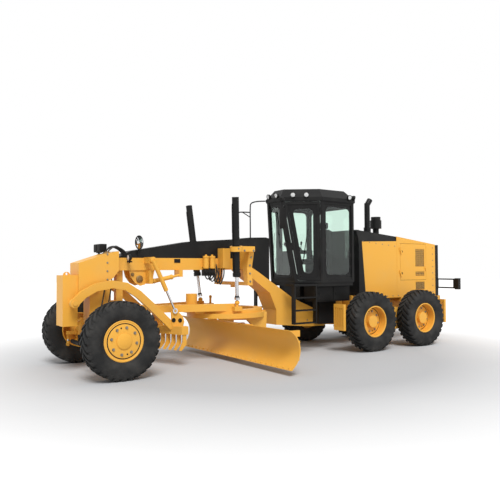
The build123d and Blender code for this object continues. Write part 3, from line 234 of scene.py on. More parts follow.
def black_enamel(name, rough, dusty):
    paint = Finish(name, Specular_IOR_Level=0.15)
    dust = paint.grey(paint.noise(3.1, 5.0), 0.45, 0.78)
    paint.color(dust * dusty, BLACK, BLACK_DUST)
    paint.set("Roughness", rough + dust * 0.15)
    paint.bump(paint.noise(180.0, 2.0), 0.08, 0.0006)
    return paint.material


SATIN_BLACK = black_enamel("satin_black", 0.42, 0.5)
DULL_BLACK = black_enamel("dull_black", 0.62, 0.8)
print(SATIN_BLACK.name, DULL_BLACK.name)

# %% [markdown]
# Tyre rubber is dull and slightly grey. Its bump is only a fine grain, because the tread is real geometry.

# %% Rubber
RUBBER_DARK = (0.020, 0.020, 0.020)
RUBBER_PALE = (0.055, 0.053, 0.050)


def tyre_rubber():
    rubber = Finish("tyre_rubber", Specular_IOR_Level=0.15)
    bloom = rubber.grey(rubber.noise(4.0, 5.0), 0.40, 0.75)
    rubber.color(bloom, RUBBER_DARK, RUBBER_PALE)
    rubber.set("Roughness", 0.70 + bloom * 0.15)
    rubber.bump(rubber.noise(320.0, 3.0), 0.25, 0.001)
    return rubber.material


TYRE_RUBBER = tyre_rubber()
HOSE_RUBBER = drifting("hose_rubber", 30.0, (0.012, 0.012, 0.012), (0.03, 0.03, 0.03), 0.45, 60.0, 0.2,
                       Specular_IOR_Level=0.4)
print(TYRE_RUBBER.name, HOSE_RUBBER.name)

# %% [markdown]
# Cylinder rods are hard chrome. Bolts are zinc plated and duller. The fittings on the hoses are warmer, a
# brown brass that has aged.

# %% Metals
CHROME = drifting("chrome_rod", 40.0, (0.62, 0.62, 0.63), (0.75, 0.75, 0.76), 0.16, 90.0, 0.1, Metallic=1.0)
ZINC = drifting("zinc_bolt", 25.0, (0.22, 0.20, 0.16), (0.38, 0.36, 0.33), 0.38, 70.0, 0.2, Metallic=0.9)
BRASS = drifting("aged_brass", 30.0, (0.20, 0.12, 0.045), (0.33, 0.21, 0.085), 0.45, 80.0, 0.2, Metallic=0.6)
print(CHROME.name, ZINC.name, BRASS.name)

# %% [markdown]
# The cab's panes are real glass with a green tint. Light crosses both faces of a pane, so the tint in the
# colour is faint, and a pane seen in front of another one looks greener.

# %% Tinted glass
def tinted_glass():
    glass = Finish("green_tint_glass", IOR=1.45, Transmission_Weight=1.0)
    smear = glass.noise(1.7, 2.0)
    glass.color(smear, (0.79, 0.93, 0.86), (0.84, 0.97, 0.90))
    glass.set("Roughness", smear * 0.02)
    return glass.material


TINTED_GLASS = tinted_glass()
print(TINTED_GLASS.name)

# %% [markdown]
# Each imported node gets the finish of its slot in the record. Paint covers most of them, and the few bare
# ones are the rods, the glass and the tyres.

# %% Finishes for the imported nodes
FINISH_OF_SLOT = {
    "yellow_paint": ENAMEL, "black_paint": SATIN_BLACK, "dark_steel": DULL_BLACK, "tyre": TYRE_RUBBER,
    "chrome": CHROME, "tinted_glass": TINTED_GLASS, "seat": DULL_BLACK,
}
for subpart in frame["record"]["subparts"]:
    mesh = frame["nodes"][subpart["node"]].data
    mesh.materials.clear()
    mesh.materials.append(FINISH_OF_SLOT[subpart["material_slot"]])
    for face in mesh.polygons:
        face.material_index = 0

# %% [markdown]
# The camera stands low at the machine's front left corner, as the photographer did. Its place and turn
# were worked out from known lengths in the picture: the wheelbase, the track and the tyre's width.

# %% Camera
CAMERA_PLACE = (9.4928, 9.5960, 1.7157)
CAMERA_YAW = -2.1646
CAMERA_PITCH = -0.0295
CAMERA_ROLL = 0.004
CAMERA_LENS = 41.99


def photographer():
    data = bpy.data.cameras.new("photographer")
    data.lens = CAMERA_LENS
    data.clip_end = 400
    camera = add_object("photographer", data)
    flat = math.cos(CAMERA_PITCH)
    ahead = Vector((math.cos(CAMERA_YAW) * flat, math.sin(CAMERA_YAW) * flat, -math.sin(CAMERA_PITCH)))
    right = Vector((math.sin(CAMERA_YAW), -math.cos(CAMERA_YAW), 0))
    up = right.cross(ahead)
    turn = Matrix.Rotation(CAMERA_ROLL, 3, ahead)
    right, up = turn @ right, turn @ up
    turned = Matrix((right, up, -ahead)).transposed().to_4x4()
    camera.matrix_world = Matrix.Translation(at(*CAMERA_PLACE)) @ turned
    bpy.context.scene.camera = camera
    return camera


CAMERA = photographer()
print("camera at", [round(value, 3) for value in CAMERA.location])

# %% [markdown]
# A studio floor under an even white sky. One broad lamp stands for the sun, high on the left, and gives
# the soft shadow under the machine. The floor also carries a painted shadow: grey round the machine and
# fading to white further out.
# Only the camera, glass and metal see the white background, so it doesn't light the machine.

# %% Floor, sky and lamps
# the grey of the painted shadow on the floor, and the distances over which it fades to white
FLOOR_PAINTED_SHADOW = (0.50, 0.505, 0.515)
PAINTED_SHADOW_FADE = (3.8, 7.6)
SUN_FROM = (0.25, 0.58, 0.78)
SUN_STRENGTH = 2.6
SUN_SOFTNESS = math.radians(25)
SKY_STRENGTH = 0.55


def studio_floor():
    mesh = bpy.data.meshes.new("studio_floor")
    build = bmesh.new()
    bmesh.ops.create_grid(build, x_segments=2, y_segments=2, size=60)
    build.to_mesh(mesh)
    build.free()
    floor = add_object("studio_floor", mesh)
    floor.location = at(3, 0, -0.002)
    cover = Finish("studio_floor", Roughness=0.9, Specular_IOR_Level=0.0)
    away = cover.node("ShaderNodeVectorMath", {"operation": "LENGTH"}, {0: cover.place()}, output=1)
    # painted shadow: the floor's colour is grey near the machine and fades to white further out
    painted_shadow = cover.grey(away + cover.noise(0.3) * 0.6, *PAINTED_SHADOW_FADE)
    cover.color(painted_shadow, FLOOR_PAINTED_SHADOW, (1, 1, 1))
    mesh.materials.append(cover.material)


def white_sky():
    world = bpy.data.worlds.new("white_sky")
    world.use_nodes = True
    bpy.context.scene.world = world
    tree = world.node_tree
    tree.nodes.clear()
    path = tree.nodes.new("ShaderNodeLightPath")
    seen = path.outputs["Is Camera Ray"]
    for ray in ("Is Glossy Ray", "Is Transmission Ray"):
        either = tree.nodes.new("ShaderNodeMath")
        either.operation = "MAXIMUM"
        tree.links.new(seen, either.inputs[0])
        tree.links.new(path.outputs[ray], either.inputs[1])
        seen = either.outputs[0]
    strength = tree.nodes.new("ShaderNodeMapRange")
    strength.inputs["To Min"].default_value = SKY_STRENGTH
    strength.inputs["To Max"].default_value = 1.0
    tree.links.new(seen, strength.inputs["Value"])
    light = tree.nodes.new("ShaderNodeBackground")
    light.inputs["Color"].default_value = (1, 1, 1, 1)
    tree.links.new(strength.outputs[0], light.inputs["Strength"])
    out = tree.nodes.new("ShaderNodeOutputWorld")
    tree.links.new(light.outputs[0], out.inputs["Surface"])


def sun():
    data = bpy.data.lights.new("soft_sun", "SUN")
    data.energy = SUN_STRENGTH
    data.angle = SUN_SOFTNESS
    lamp = add_object("soft_sun", data)
    lamp.rotation_mode = "QUATERNION"
    lamp.rotation_quaternion = Vector(SUN_FROM).to_track_quat("Z", "Y")


studio_floor()
white_sky()
sun()
bpy.context.scene.view_settings.view_transform = "Standard"
print("stage ready")

# %% [markdown]
# The small parts are built in mesh code. A few helpers do most of it: a turned form from a profile, a rod, a
# bevelled block between two corners, and a hexagon bolt with its washer. They collect in one mesh, and
# `keep` gives that mesh its finish and the body that it rides on.

# %% Helpers for small parts
# the radius at which a turned profile closes on its axis
TIP = 0.0001


def facing(place, direction):
    """A matrix that moves a form from the origin to a place, and its Z axis to a direction."""
    turn = Vector(direction).to_track_quat("Z", "Y").to_matrix().to_4x4()
    return Matrix.Translation(Vector(place)) @ turn


def add_skin(build, rings, sides, closed=True):
    """Faces between rings of points, and over both ends where it's closed."""
    for low, high in zip(rings, rings[1:]):
        for k in range(sides):
            build.faces.new((low[k], low[(k + 1) % sides], high[(k + 1) % sides], high[k]))
    if closed:
        build.faces.new(list(reversed(rings[0])))
        build.faces.new(rings[-1])


def add_turned(build, place, direction, profile, sides=32, closed=False):
    """Spins a profile of radius and height round an axis."""
    matrix = facing(place, direction)
    rings = []
    for radius, height in profile:
        ring = []
        for k in range(sides):
            angle = 2 * math.pi * k / sides
            spot = Vector((radius * math.cos(angle), radius * math.sin(angle), height))
            ring.append(build.verts.new(matrix @ spot))
        rings.append(ring)
    add_skin(build, rings, sides, closed)


def add_rod(build, start, end, radius, sides=16):
    """A round rod with softened ends."""
    length = (end - start).length
    soft = min(radius * 0.2, length * 0.2)
    add_turned(build, start, end - start, [
        (radius - soft, 0), (radius, soft), (radius, length - soft), (radius - soft, length)], sides, True)


def add_block(build, low, high, bevel=0.004):
    """A block between two corners with bevelled edges."""
    matrix = Matrix.Translation((low + high) / 2) @ Matrix.Diagonal((*(high - low), 1))
    made = bmesh.ops.create_cube(build, size=1, matrix=matrix)["verts"]
    edges = dict.fromkeys(edge for vert in made for edge in vert.link_edges)
    bmesh.ops.bevel(build, geom=list(edges), offset=bevel, segments=2, profile=0.7, affect="EDGES")


def add_bolt(build, place, direction, across):
    """A hexagon head on its washer."""
    half = across / 2
    add_turned(build, place, direction, [(TIP, 0.003), (half * 1.35, 0.003), (half * 1.45, 0)], 14)
    add_turned(build, place, direction, [
        (TIP, across * 0.62), (half * 0.9, across * 0.62), (half * 1.1, across * 0.5), (half * 1.1, 0)], 6)


def keep(name, build, material, body="front_frame", smooth=40):
    """Turns a bmesh into a piece that rides on a body: the front frame, where no other is named."""
    bmesh.ops.recalc_face_normals(build, faces=build.faces[:])
    mesh = bpy.data.meshes.new(name)
    build.to_mesh(mesh)
    build.free()
    mesh.shade_smooth()
    mesh.set_sharp_from_angle(angle=math.radians(smooth))
    mesh.materials.append(material)
    piece = add_object(name, mesh)
    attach(piece, body)
    return piece


print("helpers for small parts ready")

# %% [markdown]
# Each wheel gets its dressing: the rolled lip of the rim, the nuts, and painted shade, which is a black ring
# in the groove round the disc and black discs over the two hand holes. On the front wheels the disc lies
# flush with the rim, on the rear ones it is deep inside.

# %% Wheel dressing
RIM_RADIUS = 0.305
NUT_CIRCLE = 0.205
NUT_COUNT = 8
FIRST_NUT = 11
NUT_ACROSS = 0.034
HAND_HOLES = (76, 256)
FRONT_FACE = 0.128
REAR_FACE = -0.018


def on_nut_circle(degrees):
    angle = math.radians(degrees)
    return Vector((math.cos(angle), 0, math.sin(angle))) * NUT_CIRCLE


def wheel_dressing(place, word, side):
    """The dressing of one wheel. Place is its word in the names, such as front."""
    body = f"wheel_{place}_{word}"
    middle = middle_of(f"tyre_{place}_{word}")
    out = Vector((0, side, 0))
    face = middle + out * (FRONT_FACE if place == "front" else REAR_FACE)
    lip = bmesh.new()
    add_turned(lip, middle, out, [
        (RIM_RADIUS - 0.016, 0.112), (RIM_RADIUS - 0.012, 0.130), (RIM_RADIUS, 0.136),
        (RIM_RADIUS + 0.013, 0.131), (RIM_RADIUS + 0.012, 0.119)], 64)
    add_turned(lip, face, out, [(0.258, -0.002), (0.255, 0.007), (0.245, 0.009), (0.121, 0.009)], 64)
    add_turned(lip, face, out, [(TIP, 0.030), (0.108, 0.030), (0.119, 0.024), (0.122, 0.008)], 48)
    keep(f"rim_face_{place}_{word}", lip, ENAMEL, body)
    # painted shade: a flat black ring in the groove round the disc and flat black discs over the hand holes
    dark = bmesh.new()
    add_turned(dark, face, out, [(0.273, 0.001), (0.258, 0.002)], 64)
    for degrees in HAND_HOLES:
        add_turned(dark, face + on_nut_circle(degrees) + out * 0.0095, out, [
            (TIP, 0.001), (0.013, 0.001), (0.0135, 0)], 16)
    keep(f"rim_painted_shade_{place}_{word}", dark, DULL_BLACK, body)
    nuts = bmesh.new()
    for k in range(NUT_COUNT):
        spot = face + on_nut_circle(FIRST_NUT + k * 360 / NUT_COUNT)
        add_bolt(nuts, spot + out * 0.009, out, NUT_ACROSS)
    keep(f"wheel_nuts_{place}_{word}", nuts, ZINC, body)


for wheel in WHEELS:
    wheel_dressing(*wheel)
print("wheels dressed")

# %% [markdown]
# The tyres carry a chevron tread: slanted lugs on both halves, half a pitch apart, that run over the
# shoulder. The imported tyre's lugs are coarse, so this finer tyre stands in its place. A lug runs through
# stations from the middle of the tread to the sidewall.

# %% Tyres with their tread
TREAD_PITCHES = 31
LUG_HEIGHT = 0.026
LUG_SHARE = 0.54
CROWN = TYRE_RADIUS - LUG_HEIGHT
TYRE_BOX = [Vector(corner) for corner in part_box("tyre_front_left")]
HALF_WIDTH = (TYRE_BOX[1].y - TYRE_BOX[0].y) / 2


def sidewall():
    """The tyre's section from one bead to the other: radius, offset along the axle."""
    half = [
        (0.306, 0.116), (0.318, 0.129), (0.334, 0.135), (0.341, 0.142), (0.349, 0.143), (0.356, 0.150),
        (0.400, 0.166), (0.445, HALF_WIDTH), (0.490, 0.170), (0.530, 0.165), (0.560, 0.157),
        (CROWN - 0.008, 0.142), (CROWN - 0.003, 0.080), (CROWN, 0)]
    return half + [(radius, -offset) for radius, offset in reversed(half[:-1])]


# offset along the axle, radius of the lug's top, share of the slant
LUG_STATIONS = [
    (0.003, TYRE_RADIUS, 0.0), (0.060, TYRE_RADIUS - 0.001, 0.38), (0.118, TYRE_RADIUS - 0.004, 0.78),
    (0.150, TYRE_RADIUS - 0.009, 1.0), (0.166, TYRE_RADIUS - 0.030, 1.05),
    (0.1705, TYRE_RADIUS - 0.080, 1.08)]
SLANT = 0.20


def add_lug(build, start, hand):
    """One lug. Hand is the half of the tread that it's on."""
    pitch = 2 * math.pi / TREAD_PITCHES
    rows = []
    for offset, top, share in LUG_STATIONS:
        middle = start - SLANT * share
        depth = LUG_HEIGHT + 0.010 if offset < 0.16 else 0.012
        sink = 0.016 if offset > 0.16 else 0
        row = []
        foot, crest = (top - depth, offset - sink), (top, offset)
        for edge, (radius, y) in ((-0.5, foot), (-0.42, crest), (0.42, crest), (0.5, foot)):
            angle = middle + edge * pitch * LUG_SHARE
            row.append(build.verts.new((radius * math.cos(angle), hand * y, radius * math.sin(angle))))
        rows.append(row)
    for low, high in zip(rows, rows[1:]):
        for k in range(3):
            build.faces.new((low[k], low[k + 1], high[k + 1], high[k]))
    build.faces.new(rows[0])
    build.faces.new(rows[-1])


def treaded_tyre(place, word):
    """One tyre with all its lugs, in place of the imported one."""
    build = bmesh.new()
    add_turned(build, (0, 0, 0), (0, 1, 0), sidewall(), 96)
    for k in range(TREAD_PITCHES):
        for hand in SIDES.values():
            start = (k + (0.25 if hand > 0 else -0.25)) * 2 * math.pi / TREAD_PITCHES
            add_lug(build, start, hand)
    bmesh.ops.translate(build, verts=build.verts[:], vec=middle_of(f"tyre_{place}_{word}"))
    piece = keep(f"treaded_tyre_{place}_{word}", build, TYRE_RUBBER, f"wheel_{place}_{word}", 35)
    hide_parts(f"tyre_{place}_{word}")


for place, word, _ in WHEELS:
    treaded_tyre(place, word)
print("tyres", TREAD_PITCHES * 2, "lugs each")

# %% [markdown]
# The cab's panes have a printed black border with rounded corners. Each pane is one island of its packed
# node's mesh, and its outer face gives the outline. The border is filled between that outline and a rounded
# one inside it.

# %% Printed borders on the glass
BORDER_CORNER = 0.10
BORDER_LIFT = 0.002
DOOR_BORDER, CAB_BORDER = 0.085, 0.055
STRAIGHT = math.radians(176)
FACE_DEPTH = 0.001
ARC_STEPS = 8


def islands(mesh):
    """The separate shells of a mesh, each as its points and the direction of its largest face."""
    build = bmesh.new()
    build.from_mesh(mesh)
    bmesh.ops.remove_doubles(build, verts=build.verts[:], dist=1e-5)
    seen = set()
    for start in build.verts:
        if start in seen:
            continue
        shell = [start]
        seen.add(start)
        for vert in shell:
            for edge in vert.link_edges:
                other = edge.other_vert(vert)
                if other not in seen:
                    seen.add(other)
                    shell.append(other)
        faces = [face for vert in shell for face in vert.link_faces]
        yield [vert.co.copy() for vert in shell], max(faces, key=lambda face: face.calc_area()).normal.copy()
    build.free()


def neighbours(corners):
    """Each corner with the one before it and the one after it."""
    return zip(corners[-1:] + corners, corners, corners[1:] + corners[:1])


def outer_outline(points, normal, inside):
    """The corners of a flat pane's outer face, in order, with its outward direction."""
    middle = sum(points, Vector()) / len(points)
    if normal.dot(middle - inside) < 0:
        normal = -normal
    reach = max(point.dot(normal) for point in points)
    corners = [point for point in points if reach - point.dot(normal) < FACE_DEPTH]
    middle = sum(corners, Vector()) / len(corners)
    level = (corners[0] - middle).normalized()
    across = normal.cross(level)
    corners.sort(key=lambda point: math.atan2((point - middle).dot(across), (point - middle).dot(level)))
    bends = []
    for before, here, after in neighbours(corners):
        if (before - here).angle(after - here) < STRAIGHT:
            bends.append(here)
    return bends, normal


def rounded_inside(corners, width, corner):
    """The outline moved inward by a width, with an arc at each corner."""
    inner = []
    for before, here, after in neighbours(corners):
        back, ahead = (before - here).normalized(), (after - here).normalized()
        middle = (back + ahead).normalized()
        half = back.angle(ahead) / 2
        spot = here + middle * (width / math.sin(half))
        reach = corner / math.tan(half)
        centre = spot + middle * (corner / math.sin(half))
        start, end = spot + back * reach - centre, spot + ahead * reach - centre
        for step in range(ARC_STEPS + 1):
            inner.append(centre + start.slerp(end, step / ARC_STEPS).normalized() * corner)
    return inner


def glass_border(name, node, width, body):
    """The printed borders of all panes in a node."""
    inside = middle_of("cab_shell")
    build = bmesh.new()
    for points, normal in islands(frame["nodes"][node].data):
        corners, out = outer_outline(points, normal, inside)
        loops = []
        for outline in (corners, rounded_inside(corners, width, BORDER_CORNER)):
            verts = [build.verts.new(point + out * BORDER_LIFT) for point in outline]
            loops += [build.edges.new((verts[k], verts[k - 1])) for k in range(len(verts))]
        bmesh.ops.triangle_fill(build, use_beauty=True, use_dissolve=False, edges=loops)
    keep(name, build, PRINTED_BLACK, body)


PRINTED_BLACK = black_enamel("printed_black", 0.22, 0.15)
for word in SIDES:
    glass_border(f"door_border_{word}", f"door_glass_{word}", DOOR_BORDER, f"cab_door_{word}")
glass_border("cab_borders", "cab_glass", CAB_BORDER, "front_frame")
print("borders printed")

# %% [markdown]
# Small parts must sit on the steel, not near it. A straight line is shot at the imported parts, and the part
# goes where it lands. Bolts come in rows, so one function shoots a whole row of them.

# %% Landing on the steel
TREES = {}


def tree_of(node):
    """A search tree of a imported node's faces, built on its first use."""
    if node not in TREES:
        piece = frame["nodes"][node]
        points = [piece.matrix_world @ vert.co for vert in piece.data.vertices]
        TREES[node] = BVHTree.FromPolygons(points, [face.vertices[:] for face in piece.data.polygons])
    return TREES[node]


def landing(nodes, start, way):
    """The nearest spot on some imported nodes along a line, with the surface's outward direction."""
    best = None
    for node in nodes:
        spot, normal, _, far = tree_of(node).ray_cast(start, Vector(way).normalized())
        if spot is not None and (best is None or far < best[2]):
            best = (spot, normal if normal.dot(Vector(way)) < 0 else -normal, far)
    return best and best[:2]


def side_landing(nodes, side, x, z):
    """A landing from straight beside the machine."""
    return landing(nodes, at(x, side * 2, z), (0, -side, 0))


def bolt_row(build, nodes, first, last, count, way, across):
    """Bolts between two places, shot along a way. One that meets no steel is left out."""
    made = 0
    for k in range(count):
        found = landing(nodes, first.lerp(last, k / (count - 1)), way)
        if found:
            add_bolt(build, found[0] - found[1] * 0.001, found[1], across)
            made += 1
    return made


print("landing ready")

# %% [markdown]
# The bolts are grouped by the body that they ride on. The flange behind the push block, the rear edge of
# the nose, the saddle castings and the blade's edge are where they show in the photo. A table holds the
# rows on both sides of the machine, and the cutting edge has its own row, shot from ahead.

# %% Bolts
TO_REAR, TO_FRONT = (-1, 0, 0), (1, 0, 0)
# group and body, then the rows: nodes, forward from and to, up from and to, count, size across the head
SIDE_ROWS = {
    ("front_frame", "front_frame"): [
        (["front_frame"], 6.03, 6.03, 1.52, 1.94, 4, 0.024),
        (["push_block"], 6.47, 6.47, 0.92, 1.56, 6, 0.024),
        (["front_frame"], 1.10, 1.75, 0.62, 0.62, 5, 0.024)],
    ("saddle", "front_frame"): [
        (["lift_saddle"], 3.42, 3.62, 2.02, 2.02, 2, 0.030),
        (["lift_saddle"], 3.42, 3.42, 1.45, 1.90, 4, 0.030),
        (["lift_saddle"], 3.86, 3.86, 1.98, 2.05, 2, 0.022)],
    ("hood", "rear_frame"): [
        (["engine_hood"], -1.90, -1.90, 1.12, 2.16, 8, 0.018),
        (["engine_hood"], -0.70, 0.36, 1.06, 1.06, 7, 0.018),
        (["hood_cowl", "engine_hood"], -0.60, 0.40, 2.18, 2.27, 6, 0.018)],
}
landed = 0
for (group, body), rows in SIDE_ROWS.items():
    bolts = bmesh.new()
    for nodes, x_from, x_to, z_from, z_to, count, across in rows:
        for side in SIDES.values():
            first, last = at(x_from, side * 2.2, z_from), at(x_to, side * 2.2, z_to)
            landed += bolt_row(bolts, nodes, first, last, count, (0, -side, 0), across)
    keep(f"{group}_bolts", bolts, ZINC, body)
edge_bolts = bmesh.new()
landed += bolt_row(edge_bolts, ["cutting_edge"], at(5, -1.2, 0.122), at(5, 2.3, 0.122), 24, TO_REAR, 0.026)
keep("cutting_edge_bolts", edge_bolts, ENAMEL, "blade")
print("bolts landed", landed)

# %% [markdown]
# Woven screens of aged brass sit in the vent pockets of the engine doors and the hood. Their weave is a
# fine check in the material, and their bars are real, so a pocket isn't an empty hole.

# %% Woven screens in the vents
VENT_X = (-1.585, -1.305)
DOOR_VENTS = [(1.720, 2.116), (1.505, 1.593)]
HOOD_VENT = (1.190, 1.356)
VENT_BAR = 0.012
VENT_BARS = 4


def woven_brass():
    metal = Finish("woven_brass", Metallic=0.5)
    weave = metal.node("ShaderNodeTexChecker", values={"Vector": metal.place(), "Scale": 95.0}, output=1)
    metal.color(weave, (0.10, 0.055, 0.015), (0.42, 0.25, 0.07))
    metal.set("Roughness", 0.45 + metal.noise(60.0) * 0.2)
    return metal.material


def add_side_block(build, side, x, y, z, bevel=0.004):
    """A block on one side of the machine. Its limits are given for the left side."""
    low, high = sorted((side * y[0], side * y[1]))
    add_block(build, at(x[0], low, z[0]), at(x[1], high, z[1]), bevel)


def screen(build, nodes, side, z):
    """One screen with upright bars, set on the floor of its pocket."""
    found = side_landing(nodes, side, sum(VENT_X) / 2, sum(z) / 2)
    y = side * (found[0].y - TANDEM.y)
    add_side_block(build, side, VENT_X, (y, y + 0.003), z, 0.001)
    for k in range(VENT_BARS):
        x = VENT_X[0] + (VENT_X[1] - VENT_X[0]) * k / (VENT_BARS - 1)
        add_side_block(build, side, (x - VENT_BAR / 2, x + VENT_BAR / 2), (y, y + 0.006), z, 0.001)


WOVEN_BRASS = woven_brass()
hood = bmesh.new()
for word, side in SIDES.items():
    door = bmesh.new()
    for heights in DOOR_VENTS:
        screen(door, [f"engine_door_{word}"], side, heights)
    keep(f"door_screens_{word}", door, WOVEN_BRASS, f"engine_door_{word}")
    screen(hood, ["engine_hood"], side, HOOD_VENT)
keep("hood_screens", hood, WOVEN_BRASS, "rear_frame")
print("screens set")

# %% [markdown]
# Hydraulic lines are rubber hoses between brass fittings. Both ends are clamped and the runs are short, so
# they keep their shape and aren't loose cords. Each one follows a smooth curve through a few places, and
# its section is carried along the curve without a twist.

# %% Tubes on a smooth curve
def smooth_run(points, steps=8):
    """A smooth curve through all the points."""
    ends = [points[0] * 2 - points[1]] + points + [points[-1] * 2 - points[-2]]
    run = []
    for k in range(1, len(ends) - 2):
        a, b, c, d = ends[k - 1:k + 3]
        for step in range(steps):
            t = step / steps
            run.append(0.5 * ((2 * b) + (c - a) * t + (2 * a - 5 * b + 4 * c - d) * t * t
                              + (3 * b - a - 3 * c + d) * t ** 3))
    return run + [points[-1]]


def add_hose(build, points, radius, sides=8):
    """A tube along a smooth run."""
    run = smooth_run(points)
    side = (run[1] - run[0]).orthogonal().normalized()
    rings = []
    for k, spot in enumerate(run):
        ahead = (run[min(k + 1, len(run) - 1)] - run[max(k - 1, 0)]).normalized()
        side = (side - ahead * side.dot(ahead)).normalized()
        other = ahead.cross(side)
        ring = []
        for step in range(sides):
            angle = 2 * math.pi * step / sides
            ring.append(build.verts.new(spot + (side * math.cos(angle) + other * math.sin(angle)) * radius))
        rings.append(ring)
    add_skin(build, rings, sides)


print("tubes ready")

# %% [markdown]
# The hoses loop over the top of the nose, and a bundle of them hangs below the valve block beside the
# saddle. Their heights differ a little, so that they don't look stamped.

# %% Hoses
def hose_group(name, runs, radius=0.011):
    """A bundle of hoses on the front frame, with a fitting at each end."""
    rubber, brass = bmesh.new(), bmesh.new()
    for places in runs:
        points = [at(*place) for place in places]
        add_hose(rubber, points, radius)
        for end, following in ((points[0], points[1]), (points[-1], points[-2])):
            way = (following - end).normalized()
            add_turned(brass, end - way * 0.012, way, [
                (TIP, 0), (radius * 1.5, 0), (radius * 1.5, 0.022), (radius * 1.25, 0.024),
                (radius * 1.2, 0.05), (radius * 1.02, 0.05)], 8)
    keep(f"{name}_hoses", rubber, HOSE_RUBBER)
    keep(f"{name}_fittings", brass, BRASS)


nose_loops = []
for k in range(5):
    y = -0.10 + k * 0.05
    nose_loops.append([
        (5.98, y, 1.96), (5.93, y + 0.01, 2.02 + 0.02 * (k % 3)), (5.82, y, 2.07 + 0.015 * (k % 2)),
        (5.70, y - 0.01, 2.02), (5.62, y, 1.93)])
hose_group("nose", nose_loops)
valve_lines = []
for k in range(6):
    x = 4.16 - k * 0.055
    valve_lines.append([
        (x, 0.155, 1.76), (x + 0.02, 0.22, 1.68), (x + 0.01 - 0.02 * (k % 2), 0.24, 1.56 - 0.03 * (k % 3)),
        (x - 0.05, 0.22, 1.50 - 0.02 * k), (x - 0.14, 0.19, 1.56), (x - 0.17, 0.155, 1.70)])
hose_group("valve", valve_lines)
print("hoses", len(nose_loops) + len(valve_lines))

# %% [markdown]
# The seat is foam under cloth: a crowned cushion, a back and a head rest, each a closed rounded form with
# two pressed seams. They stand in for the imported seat, on a thin shell of black plastic.

# %% Padded seat
PAD_CUTS = 23
ROUNDNESS = 7
CROWN_LOW, CROWN_RISE, SEAM_DEPTH = 0.86, 0.14, 0.10
SEAM_PLACES = (-0.5, 0.5)
SEAM_WIDTH = 0.05


def seat_cloth():
    cloth = Finish("seat_cloth", Specular_IOR_Level=0.15)
    weave = cloth.node("ShaderNodeTexWave", values={
        "Vector": cloth.place(), "Scale": 60.0, "Distortion": 1.5}, output=1)
    cloth.color(weave, (0.018, 0.018, 0.019), (0.045, 0.045, 0.047))
    cloth.set("Roughness", 0.8 + weave * 0.1)
    cloth.bump(weave, 0.3, 0.001)
    return cloth.material


def pad(name, low, high, top, seams):
    """A padded block. Top is the axis of its crowned side, seams the axis along which two seams are set."""
    build = bmesh.new()
    bmesh.ops.create_cube(build, size=2)
    bmesh.ops.subdivide_edges(build, edges=build.edges[:], cuts=PAD_CUTS, use_grid_fill=True)
    middle, half = (low + high) / 2, (high - low) / 2
    others = [k for k in range(3) if k != top]
    for vert in build.verts:
        spot = vert.co.copy()
        spot /= sum(abs(value) ** ROUNDNESS for value in spot) ** (1 / ROUNDNESS)
        crown = math.prod(1 - spot[k] ** 2 for k in others)
        groove = sum(math.exp(-((spot[seams] - place) / SEAM_WIDTH) ** 2) for place in SEAM_PLACES)
        if spot[top] > 0:
            spot[top] *= CROWN_LOW + CROWN_RISE * crown ** 0.5 - SEAM_DEPTH * groove
        vert.co = middle + Vector(value * size for value, size in zip(spot, half))
    piece = keep(name, build, SEAT_CLOTH, "front_frame", 80)


SEAT_CLOTH = seat_cloth()
pad("seat_cushion", at(1.130, -0.250, 1.795), at(1.590, 0.250, 1.890), 2, 1)
pad("seat_back", at(1.062, -0.240, 1.850), at(1.160, 0.240, 2.520), 0, 1)
pad("seat_head_rest", at(1.060, -0.130, 2.535), at(1.130, 0.130, 2.670), 0, 1)
shell = bmesh.new()
add_block(shell, at(1.100, -0.225, 1.7705), at(1.560, 0.225, 1.800), 0.008)
add_block(shell, at(1.040, -0.215, 1.790), at(1.066, 0.215, 2.490), 0.008)
for side in SIDES.values():
    add_rod(shell, at(1.056, side * 0.07, 2.47), at(1.075, side * 0.07, 2.60), 0.008)
shell_piece = keep("seat_shell", shell, DULL_BLACK)
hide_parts("operator_seat")
print("seat padded")

# %% [markdown]
# Inside the cab each console has two joysticks in rubber boots. The dash has a screen hood.

# %% Joysticks
# forward place of each foot, and how far the top leans forward
STICKS = ((1.555, 0.02), (1.475, -0.01))
STICK_BOOT = [(0.030, 0), (0.027, 0.012), (0.018, 0.020), (0.020, 0.028), (0.010, 0.045)]
STICK_KNOB = [(TIP, 0), (0.014, 0.004), (0.019, 0.03), (0.022, 0.065), (0.016, 0.085), (TIP, 0.092)]
sticks = bmesh.new()
for side in SIDES.values():
    for x, lean in STICKS:
        foot = at(x, side * 0.305, 2.080)
        add_turned(sticks, foot, (0, 0, 1), STICK_BOOT, 16)
        add_rod(sticks, foot + Vector((0, 0, 0.03)), foot + Vector((lean, 0, 0.115)), 0.007, 10)
        add_turned(sticks, foot + Vector((lean, 0, 0.105)), (lean, 0, 0.10), STICK_KNOB, 14)
add_block(sticks, at(2.045, -0.12, 1.995), at(2.135, 0.12, 2.045), 0.012)
keep("joysticks", sticks, DULL_BLACK)
print("joysticks set")

# %% [markdown]
# A work lamp is a round housing on a small bracket. It has a clear ribbed lens in front.

# %% Work lamp
def lamp_glass():
    glass = Finish("lamp_lens", Specular_IOR_Level=0.6, Metallic=0.2)
    ribs = glass.node("ShaderNodeTexWave", values={"Vector": glass.place(), "Scale": 40.0}, output=1)
    glass.color(ribs, (0.45, 0.46, 0.47), (0.80, 0.81, 0.80))
    glass.set("Roughness", 0.10 + ribs * 0.08)
    return glass.material


